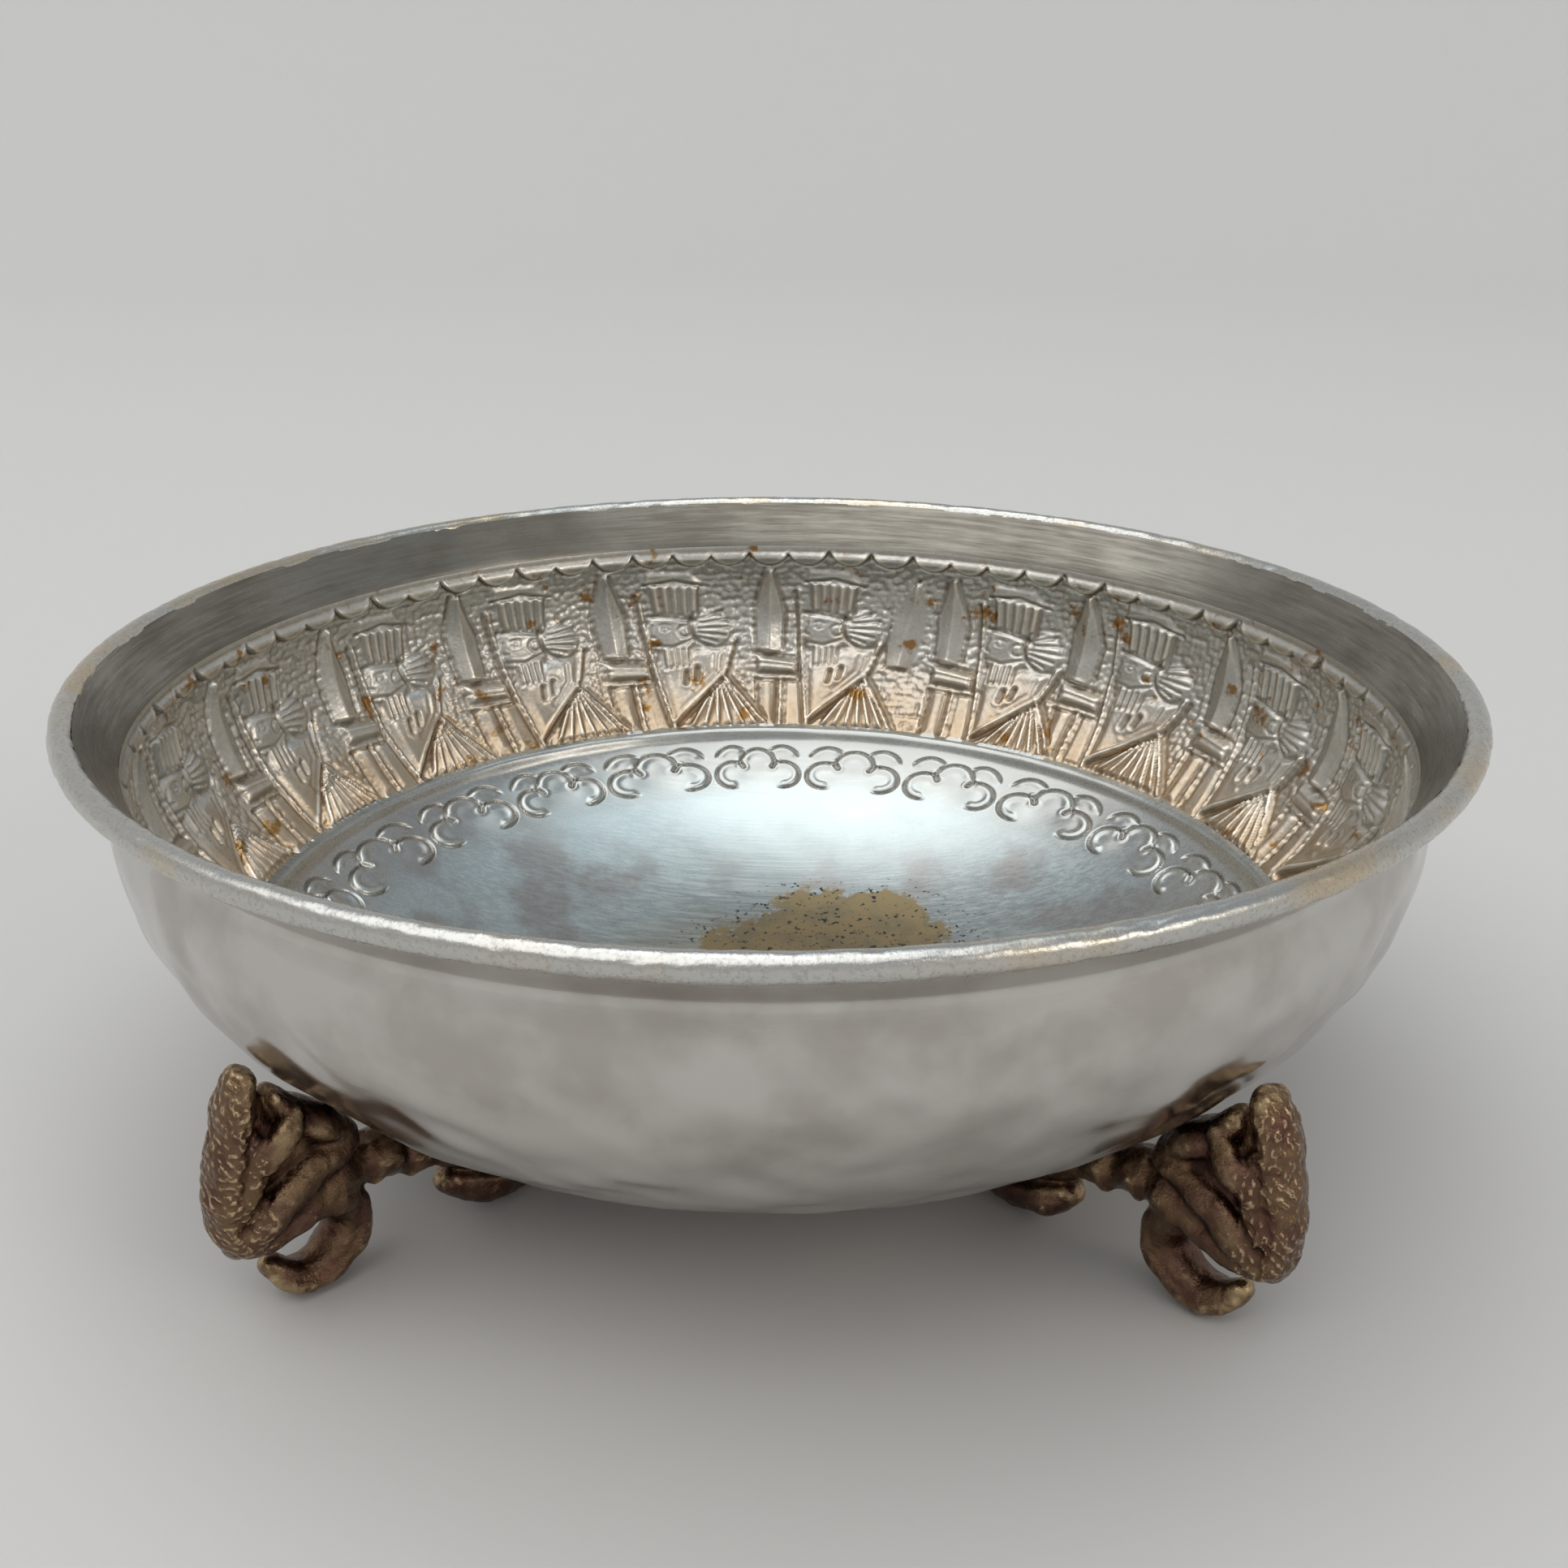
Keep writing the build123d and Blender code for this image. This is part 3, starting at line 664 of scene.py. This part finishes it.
def curve_through(points, spacing):
    """A smooth curve through points, sampled about spacing apart."""
    points = np.array(points, float)
    ends = np.concatenate([[2 * points[0] - points[1]], points, [2 * points[-1] - points[-2]]])
    samples = []
    for k in range(1, len(ends) - 2):
        a, b, c, d = ends[k - 1:k + 3]
        count = max(2, int(np.hypot(*(c - b)[[0, 2]]) / spacing))
        t = np.linspace(0, 1, count, endpoint=False)[:, None]
        square, cube = 2 * a - 5 * b + 4 * c - d, 3 * b - a - 3 * c + d
        samples.append(0.5 * (2 * b + (c - a) * t + square * t ** 2 + cube * t ** 3))
    return np.concatenate(samples + [points[-1:]])


def sweep(points, flat):
    """Triangles of a round-ended limb along points, wider sideways by the factor flat."""
    path = curve_through(points, LIMB_STEP)
    centre, radius = path[:, :3], path[:, 3]
    along = np.gradient(centre, axis=0)
    along /= np.linalg.norm(along, axis=1)[:, None]
    side = np.array([0.0, 1.0, 0.0]) - along * along[:, 1:2]
    side /= np.linalg.norm(side, axis=1)[:, None]
    up = np.cross(along, side)
    caps, end = np.radians([88, 65, 40, 20]), len(centre) - 1
    order = [(0, -a) for a in caps] + [(k, 0.0) for k in range(end + 1)] + [(end, a) for a in caps[::-1]]
    turn = np.arange(LIMB_SIDES) * 2 * math.pi / LIMB_SIDES
    rings = []
    for k, a in order:
        middle = centre[k] + along[k] * radius[k] * math.sin(a)
        reach = radius[k] * math.cos(a)
        ring = np.outer(np.cos(turn), up[k]) + flat * np.outer(np.sin(turn), side[k])
        rings.append(middle + reach * ring)
    rows = len(rings)
    points = np.concatenate(rings + [[rings[0].mean(0)], [rings[-1].mean(0)]])
    quads = ring_faces(rows, LIMB_SIDES, True)
    triangles = [quads[:, [0, 1, 2]], quads[:, [0, 2, 3]]]
    i = np.arange(LIMB_SIDES)
    following, pole, last = (i + 1) % LIMB_SIDES, 0 * i + rows * LIMB_SIDES, (rows - 1) * LIMB_SIDES
    triangles.append(np.stack([following, i, pole], 1))
    triangles.append(np.stack([last + i, last + following, pole + 1], 1))
    return points, np.concatenate(triangles)


def fused(parts):
    """One closed skin around all parts, softened a little, as casting does. Points in mm."""
    firsts = np.cumsum([0] + [len(points) for points, _ in parts])
    faces = np.concatenate([part[1] + first for part, first in zip(parts, firsts)])
    rough = mesh_object("foot_core", np.concatenate([part[0] for part in parts]), faces)
    remesh = rough.modifiers.new("remesh", "REMESH")
    remesh.mode = "VOXEL"
    remesh.voxel_size = VOXEL * MM
    relax = rough.modifiers.new("relax", "SMOOTH")
    relax.factor = 0.5
    relax.iterations = ROUNDS
    mesh = bpy.data.meshes.new_from_object(rough.evaluated_get(bpy.context.evaluated_depsgraph_get()))
    bpy.data.objects.remove(rough)
    return mesh


def read(items, key, width, kind):
    """One property of a mesh's points, edges or loops, as an array."""
    values = np.empty(len(items) * width, kind)
    items.foreach_get(key, values)
    return values.reshape(-1, width)


def neighbour_mean(values, edges, count):
    """Mean of each point's neighbours along the edges."""
    total, number = np.zeros_like(values), np.zeros(count)
    for a, b in ((0, 1), (1, 0)):
        np.add.at(total, edges[:, a], values[edges[:, b]])
        np.add.at(number, edges[:, a], 1)
    return total / np.maximum(number, 1)[:, None]


def lumps(points, seed, size, count=14):
    """Irregular noise in space, about one unit high, size mm across."""
    random = np.random.default_rng(seed)
    total = np.zeros(len(points))
    for _ in range(count):
        direction = random.normal(size=3)
        direction *= 2 * math.pi / (size * random.uniform(0.7, 1.6)) / np.linalg.norm(direction)
        total += np.sin(points @ direction + random.uniform(0, FULL_TURN))
    return total / math.sqrt(count)


def clear_of_bowl(points):
    """Moves points out of the bowl and the floor, by the shorter way."""
    r, z = np.hypot(points[:, 0], points[:, 1]), points[:, 2]
    reach_r, reach_z, lowest = skin_r + SEAT_GAP, skin_depth + SEAT_GAP, skin_base - SEAT_GAP
    share = np.sqrt((r / reach_r) ** 2 + ((shoulder_z - z) / reach_z) ** 2)
    inside = (share < 1) & (z > lowest) & (z < shoulder_z)
    out_r, out_z = r / np.maximum(share, 0.1), shoulder_z - (shoulder_z - z) / np.maximum(share, 0.1)
    down = inside & (z - lowest < np.hypot(out_r - r, out_z - z))
    outward = inside & ~down
    new_r = np.where(outward, out_r, r)
    new_z = np.where(outward, out_z, np.where(down, lowest, z))
    scale = new_r / np.maximum(r, 1e-6)
    return np.stack([points[:, 0] * scale, points[:, 1] * scale, np.maximum(new_z, 0)], 1)


def make_feet():
    """Four leaf feet from one model, each with its own casting skin."""
    limbs = []
    for flat, points in MIDDLE_LIMBS.values():
        limbs.append(sweep([(prong_r + out, 0, z, radius) for out, z, radius in points], flat))
    for flat, points in SIDE_LIMBS.values():
        for side in (1, -1):
            limbs.append(sweep([(prong_r + out, side * t, z, radius) for out, t, z, radius in points], flat))
    core = fused(limbs)
    points = read(core.vertices, "co", 3, float) / MM
    normals = read(core.vertex_normals, "vector", 3, np.float32).astype(float)
    edges = read(core.edges, "vertices", 2, np.int32)
    faces = read(core.loops, "vertex_index", 1, np.int32).reshape(-1, 4)
    bpy.data.meshes.remove(core)
    broad = points
    for _ in range(BROAD_ROUNDS):
        broad = neighbour_mean(broad, edges, len(points))
    shape = np.einsum("ij,ij->i", points - broad, normals)
    outer = smoothstep(prong_r - 1.5, prong_r + 0.8, points[:, 0]) * smoothstep(7.5, 9.5, points[:, 2])
    feet = []
    for number, name in enumerate(FEET):
        rough = 0.16 * lumps(points, 50 + number, 5.0) + 0.07 * lumps(points, 60 + number, 2.2)
        pits = np.minimum(lumps(points, 70 + number, 0.95, 20), 0.6)
        grain = 0.055 * pits * (0.6 + 1.7 * outer)
        cast = points + normals * (rough + grain)[:, None]
        hollow = np.einsum("ij,ij->i", cast - neighbour_mean(cast, edges, len(points)), normals)
        angle = math.radians(45 + 90 * number)
        turned = cast.copy()
        turned[:, 0] = cast[:, 0] * math.cos(angle) - cast[:, 1] * math.sin(angle)
        turned[:, 1] = cast[:, 0] * math.sin(angle) + cast[:, 1] * math.cos(angle)
        # the worn attribute holds the casting skin's small bumps, which the bronze paints with glints and
        # rubbed gold
        foot = mesh_object(name + "_casting", clear_of_bowl(turned), faces,
                           cavity=np.clip(shape / 0.5, -1, 1), worn=np.clip(hollow / 0.05, -1, 1))
        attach(foot, "stand")
        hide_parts(name)
        feet.append(foot)
    return feet


# ---- materials
class Look:
    """A material being built: its shader and small makers of nodes. Lengths are in mm."""

    def __init__(self, name):
        self.material = bpy.data.materials.new(name)
        self.material.use_nodes = True
        self.tree = self.material.node_tree
        self.shader = self.tree.nodes["Principled BSDF"]
        place = self.node("TexCoord", {}, "Object")
        self.mm = self.node("Mapping", {"Vector": place, "Scale": (1000, 1000, 1000)})

    def node(self, kind, inputs, output=0, **settings):
        """Makes a node with its settings and its inputs, by name or number; gives one of its outputs."""
        made = self.tree.nodes.new("ShaderNode" + kind)
        for key, value in settings.items():
            setattr(made, key, value)
        for key, value in inputs.items():
            self.put(made.inputs[key], value)
        return made.outputs[output]

    def put(self, socket, value):
        if isinstance(value, bpy.types.NodeSocket):
            self.tree.links.new(value, socket)
        else:
            socket.default_value = (*value, 1) if socket.type == "RGBA" else value

    def attribute(self, name):
        return self.node("Attribute", {}, "Fac", attribute_name=name)

    def noise(self, size, detail=3, roughness=0.55, stretch=(1, 1, 1), seed=0.0):
        """Noise from 0 to 1 with features about size mm across, stretched along an axis if asked."""
        where = self.mm
        if seed or stretch != (1, 1, 1):
            moved = {"Vector": where, "Scale": stretch, "Location": (seed, seed * 0.7, -seed)}
            where = self.node("Mapping", moved)
        inputs = {"Vector": where, "Scale": 1 / size, "Detail": detail, "Roughness": roughness}
        return self.node("TexNoise", inputs)

    def math(self, operation, a, b):
        return self.node("Math", {0: a, 1: b}, operation=operation)

    def plus(self, a, b):
        return self.math("ADD", a, b)

    def times(self, a, b):
        return self.math("MULTIPLY", a, b)

    def vector(self, operation, a, b=(0, 0, 0)):
        output = "Value" if operation == "LENGTH" else "Vector"
        return self.node("VectorMath", {0: a, 1: b}, output, operation=operation)

    def band(self, value, low, high, floor=0.0, top=1.0):
        """floor below low, top above high and smooth between."""
        inputs = {0: value, 1: low, 2: high, 3: floor, 4: top}
        return self.node("MapRange", inputs, interpolation_type="SMOOTHSTEP")

    def mix(self, share, a, b):
        """From colour a to colour b."""
        return self.node("Mix", {0: share, 6: a, 7: b}, 2, data_type="RGBA")

    def blend(self, share, a, b):
        """From number a to number b."""
        return self.node("Mix", {0: share, 2: a, 3: b})

    def finish(self, colour, roughness, relief, depth):
        """A metal of this colour and roughness, with a fine relief of some depth in mm."""
        normal = self.node("Bump", {"Height": relief, "Distance": depth * MM, "Strength": 1.0})
        self.shader.inputs["Metallic"].default_value = 1.0
        for key, value in (("Base Color", colour), ("Roughness", roughness), ("Normal", normal)):
            self.put(self.shader.inputs[key], value)
        return self.material


def chased_wear(look, colour, rubbed_and_highlit_metal, dirt_and_shade):
    """Bright where chased edges stand up, from wear and a painted highlight, and dark in the cuts, from dirt
    and painted shade: colour and the share of that darkening.
    """
    cavity = look.attribute("cavity")
    # raised edges lighter: rubbed wear and a painted highlight
    rubbed_and_highlit = look.times(look.band(cavity, 0.1, 0.75), look.band(look.noise(5, 3, seed=20), 0.32, 0.55))
    colour = look.mix(look.times(rubbed_and_highlit, 0.85), colour, rubbed_and_highlit_metal)
    # cuts darker: dirt and painted shade
    patches = look.band(look.noise(3, 3, seed=31), 0.2, 0.5, 0.35)
    dirt_and_shade_share = look.times(look.band(cavity, -0.15, -0.95), patches)
    return look.mix(look.times(dirt_and_shade_share, 0.8), colour, dirt_and_shade), dirt_and_shade_share


def frieze_tin():
    """Old tin over brass: browner low down, dark in the grooves from dirt and painted shade, bright on the
    ridges from wear and painted highlights, with ochre stains.
    """
    look = Look("chased_frieze_tin")
    # the ridge colour also paints a highlight, and the cut colour also paints shade
    tin, browned, rubbed_and_highlit = (0.57, 0.555, 0.515), (0.50, 0.385, 0.265), (0.84, 0.77, 0.66)
    dirt_and_shade, ochre = (0.20, 0.145, 0.095), (0.30, 0.15, 0.03)
    height_mm = look.node("SeparateXYZ", {0: look.mm}, "Z")
    clouds = look.noise(7, 5, 0.65, seed=3)
    speck = look.noise(0.8, 3, seed=9)
    low = look.band(look.plus(height_mm, look.times(clouds, 16)), 45, 32)
    colour = look.mix(low, tin, browned)
    colour = look.mix(look.times(look.band(speck, 0.45, 0.7), 0.3), colour, tuple(0.6 * c for c in tin))
    colour, dirt_and_shade_share = chased_wear(look, colour, rubbed_and_highlit, dirt_and_shade)
    stain = look.times(look.band(look.noise(5, 5, 0.6, seed=44), 0.60, 0.68), 0.9)
    colour = look.mix(stain, colour, ochre)
    rough = look.blend(dirt_and_shade_share, look.band(speck, 0.2, 0.8, 0.25, 0.42), 0.6)
    relief = look.plus(look.noise(0.5, 2), look.times(look.noise(1.6, 2, seed=5), 2.0))
    return look.finish(colour, rough, relief, 0.03)


def band_tin():
    """The flared band: tin brushed round the axis, with fine streaks and duller clouds."""
    look = Look("band_tin")
    light, dark = (0.29, 0.275, 0.24), (0.16, 0.145, 0.12)
    streaks = look.noise(0.5, 4, 0.7, stretch=(0.04, 0.04, 1.0))
    clouds = look.noise(16, 3, stretch=(1, 1, 2), seed=6)
    share = look.plus(look.times(streaks, 0.6), look.times(clouds, 0.5))
    colour = look.mix(look.band(share, 0.38, 0.72), light, dark)
    return look.finish(colour, look.band(streaks, 0.3, 0.7, 0.24, 0.40), streaks, 0.02)


def floor_tin():
    """The floor and its border: brushed silvery tin, pinkish where thin and worn to brass in the middle."""
    look = Look("floor_tin")
    silvery, dull, bright = (0.49, 0.55, 0.55), (0.38, 0.41, 0.405), (0.66, 0.70, 0.70)
    pinkish, edge_tin = (0.33, 0.285, 0.265), (0.42, 0.405, 0.38)
    rubbed_and_highlit, dirt_and_shade = (0.66, 0.68, 0.65), (0.19, 0.145, 0.11)
    brass, dark_brass, black = (0.31, 0.24, 0.135), (0.24, 0.20, 0.13), (0.035, 0.04, 0.045)
    patch_middle, patch_squeeze = (8, 18, 0), (0.055, 0.058, 0)
    # distance from the worn patch, torn at its edge
    from_middle = look.vector("SUBTRACT", look.mm, patch_middle)
    squeezed = look.node("Mapping", {"Vector": from_middle, "Scale": patch_squeeze})
    torn = look.noise(6, 6, 0.7, seed=12)
    edge = look.plus(look.vector("LENGTH", squeezed), look.times(torn, 1.1))
    worn = look.band(edge, 1.55, 1.45)
    # tin worn thin in clouds, except at the back
    to_back = look.node("SeparateXYZ", {0: look.mm}, "Y")
    thin = look.times(look.band(look.noise(14, 5, 0.6, seed=25), 0.46, 0.62), look.band(to_back, 46, 34))
    brushed = look.noise(0.5, 4, 0.7, stretch=(0.02, 1, 1))
    crossed = look.noise(0.6, 3, 0.7, stretch=(0.10, 0.9, 1), seed=8)
    scratch = look.blend(thin, brushed, crossed)
    colour = look.mix(look.band(look.plus(edge, look.noise(22, 3, seed=17)), 3.4, 2.1), silvery, dull)
    colour = look.mix(look.band(scratch, 0.42, 0.66, 0.0, 0.35), colour, bright)
    colour = look.mix(look.times(thin, 0.65), colour, pinkish)
    radius = look.vector("LENGTH", look.vector("MULTIPLY", look.mm, (1, 1, 0)))
    colour = look.mix(look.times(look.band(radius, 50, 58), 0.7), colour, edge_tin)
    # the border's ridges lighter from wear and a painted highlight, its cuts darker from dirt and painted
    # shade
    colour, _ = chased_wear(look, colour, rubbed_and_highlit, dirt_and_shade)
    colour = look.mix(worn, colour, look.mix(look.band(torn, 0.4, 0.6), brass, dark_brass))
    flecks = look.times(look.band(edge, 1.8, 1.55), look.band(look.noise(0.9, 3, 0.6, seed=51), 0.60, 0.64))
    colour = look.mix(flecks, colour, black)
    rough = look.blend(worn, look.band(scratch, 0.3, 0.8, 0.24, 0.36), 0.45)
    return look.finish(colour, rough, scratch, 0.012)


def outside_tin():
    """The outside: handled and rubbed, with fine scratches and faint tarnish."""
    look = Look("outside_tin")
    bright, tarnished = (0.58, 0.56, 0.53), (0.47, 0.44, 0.41)
    clouds = look.noise(12, 4, seed=2)
    hair = look.noise(0.3, 2, 0.6, stretch=(0.08, 0.08, 1.2))
    colour = look.mix(look.band(clouds, 0.4, 0.65), bright, tarnished)
    rough = look.plus(look.band(clouds, 0.35, 0.7, 0.12, 0.2), look.times(hair, 0.06))
    return look.finish(colour, rough, hair, 0.008)


def rim_tin():
    """The bead: grainy satin on top, rubbed bright and golden where hands hold it."""
    look = Look("rim_tin")
    satin, golden, dull = (0.56, 0.555, 0.53), (0.60, 0.51, 0.38), (0.27, 0.24, 0.20)
    grain = look.noise(0.45, 4, 0.7)
    colour = look.mix(look.band(look.noise(18, 3, seed=14), 0.46, 0.66), satin, golden)
    colour = look.mix(look.times(look.band(grain, 0.5, 0.64), 0.35), colour, dull)
    return look.finish(colour, look.band(grain, 0.35, 0.75, 0.16, 0.36), grain, 0.035)


def cast_bronze():
    """Sand-cast bronze: near black in the hollows, red-brown skin, gold on the ridges where rubbed and as a
    painted highlight, and gold painted glints, partly rubbed wear, on the small bumps.
    """
    look = Look("cast_bronze")
    brown, red_brown, black = (0.17, 0.105, 0.062), (0.125, 0.066, 0.048), (0.045, 0.025, 0.017)
    ridge_rub_and_highlight_gold, bump_glint_and_rub_gold = (0.66, 0.50, 0.28), (0.66, 0.50, 0.30)
    cavity, bump_glint_and_rub_share = look.attribute("cavity"), look.attribute("worn")
    grain = look.noise(0.7, 4, 0.7)
    colour = look.mix(look.band(look.noise(5, 3, seed=4), 0.4, 0.6), brown, red_brown)
    patches = look.band(look.noise(2.2, 4, 0.6, seed=8), 0.40, 0.58, 0.0, 0.8)
    # gold on the ridges: rubbed wear and a painted highlight
    colour = look.mix(look.times(look.band(cavity, 0.1, 0.75), patches), colour, ridge_rub_and_highlight_gold)
    # gold on the small bumps: painted glints, partly rubbed wear
    colour = look.mix(look.times(look.band(bump_glint_and_rub_share, 0.3, 1.0), 0.75), colour, bump_glint_and_rub_gold)
    colour = look.mix(look.band(cavity, -0.05, -0.6), colour, black)
    rough = look.plus(look.band(grain, 0.3, 0.7, 0.15, 0.30), look.band(cavity, 0.0, -0.8, 0.0, 0.25))
    relief = look.plus(grain, look.times(look.noise(0.28, 2, seed=3), 0.35))
    return look.finish(colour, rough, relief, 0.16)


def dull_brass(name, colour):
    """Hub plate, rivets and wire: brass gone brown."""
    look = Look(name)
    clouds = look.noise(4, 4, 0.6)
    shade = look.mix(look.band(clouds, 0.35, 0.65), colour, tuple(0.45 * c for c in colour))
    return look.finish(shade, look.band(clouds, 0.3, 0.7, 0.35, 0.6), look.noise(0.5, 3), 0.04)


def dress(pieces, feet):
    """Gives every piece and carried-over CAD node its finish."""
    floor_metal = floor_tin()
    frieze, band, outside, rim, bronze = frieze_tin(), band_tin(), outside_tin(), rim_tin(), cast_bronze()
    metals = [frieze, floor_metal, floor_metal, band, outside, rim] + [bronze] * len(feet)
    for piece, metal in zip(pieces + feet, metals):
        piece.data.materials.append(metal)
    hub_brass = dull_brass("hub_brass", (0.42, 0.30, 0.18))
    rivet_brass = dull_brass("rivet_brass", (0.46, 0.33, 0.19))
    brasses = {"hub_plate": hub_brass, "rim_wire": dull_brass("wire_brass", (0.70, 0.55, 0.30))}
    for name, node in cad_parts.items():
        node.data.materials.clear()
        node.data.materials.append(brasses.get(name, rivet_brass))


# ---- stage
STAGE_RADIUS, STAGE_HEIGHT, STAGE_BEND, STAGE_COLUMNS = 1600, 1200, 700, 96  # mm, and columns round it
FLOOR_COLOUR, FLOOR_ROUGHNESS = (0.62, 0.61, 0.60, 1), 0.9
SKY_COLOUR, SKY_STRENGTH = (0.86, 0.93, 1.0, 1), 0.45
LIT_PLACE = (0, 0, 0.03)  # the lamps face this point, in metres
LAMPS = (  # name, place and size in metres, power in watts, colour
    ("back_softbox", (0.1, 0.62, 2.1), (1.6, 1.0), 3.7, (0.84, 0.96, 1.0)),
    ("top_softbox", (-0.5, -0.3, 1.8), (2.6, 2.3), 25.0, (1.0, 0.98, 0.95)),
    ("side_softbox", (1.3, -0.9, 0.7), (1.0, 1.0), 7.5, (1.0, 0.92, 0.82)),
)


def make_stage():
    """A pale floor that curves up all round, far outside every view, and soft lights."""
    t = np.linspace(0, math.pi / 2, 16)
    line = [(0.001, 0), (STAGE_RADIUS * 0.2, 0), (STAGE_RADIUS * 0.4, 0)]
    wall = STAGE_RADIUS - STAGE_BEND
    line += [(wall + STAGE_BEND * math.sin(a), STAGE_BEND - STAGE_BEND * math.cos(a)) for a in t]
    line = np.array(line + [(STAGE_RADIUS, STAGE_HEIGHT)])
    azimuths, rows = azimuth_grid(np.arange(len(line)), STAGE_COLUMNS)
    faces = ring_faces(len(line), STAGE_COLUMNS, True)
    stage = mesh_object("pale_floor", around(line[rows, 0], line[rows, 1], azimuths), faces)
    material = bpy.data.materials.new("pale_floor")
    material.use_nodes = True
    paint = material.node_tree.nodes["Principled BSDF"].inputs
    paint["Base Color"].default_value, paint["Roughness"].default_value = FLOOR_COLOUR, FLOOR_ROUGHNESS
    stage.data.materials.append(material)
    world = bpy.data.worlds.new("studio")
    scene.world = world
    world.use_nodes = True
    sky = world.node_tree.nodes["Background"].inputs
    sky["Color"].default_value, sky["Strength"].default_value = SKY_COLOUR, SKY_STRENGTH
    for name, place, size, power, colour in LAMPS:
        lamp = add(name, bpy.data.lights.new(name, "AREA"))
        lamp.data.shape = "RECTANGLE"
        lamp.data.size, lamp.data.size_y = size
        lamp.data.energy = power
        lamp.data.color = colour
        lamp.location = place
        lamp.rotation_euler = (Vector(LIT_PLACE) - Vector(place)).to_track_quat("-Z", "Y").to_euler()


make_camera(rim_top)
dress(make_bowl(), make_feet())
make_stage()
scene.view_settings.view_transform = "Standard"
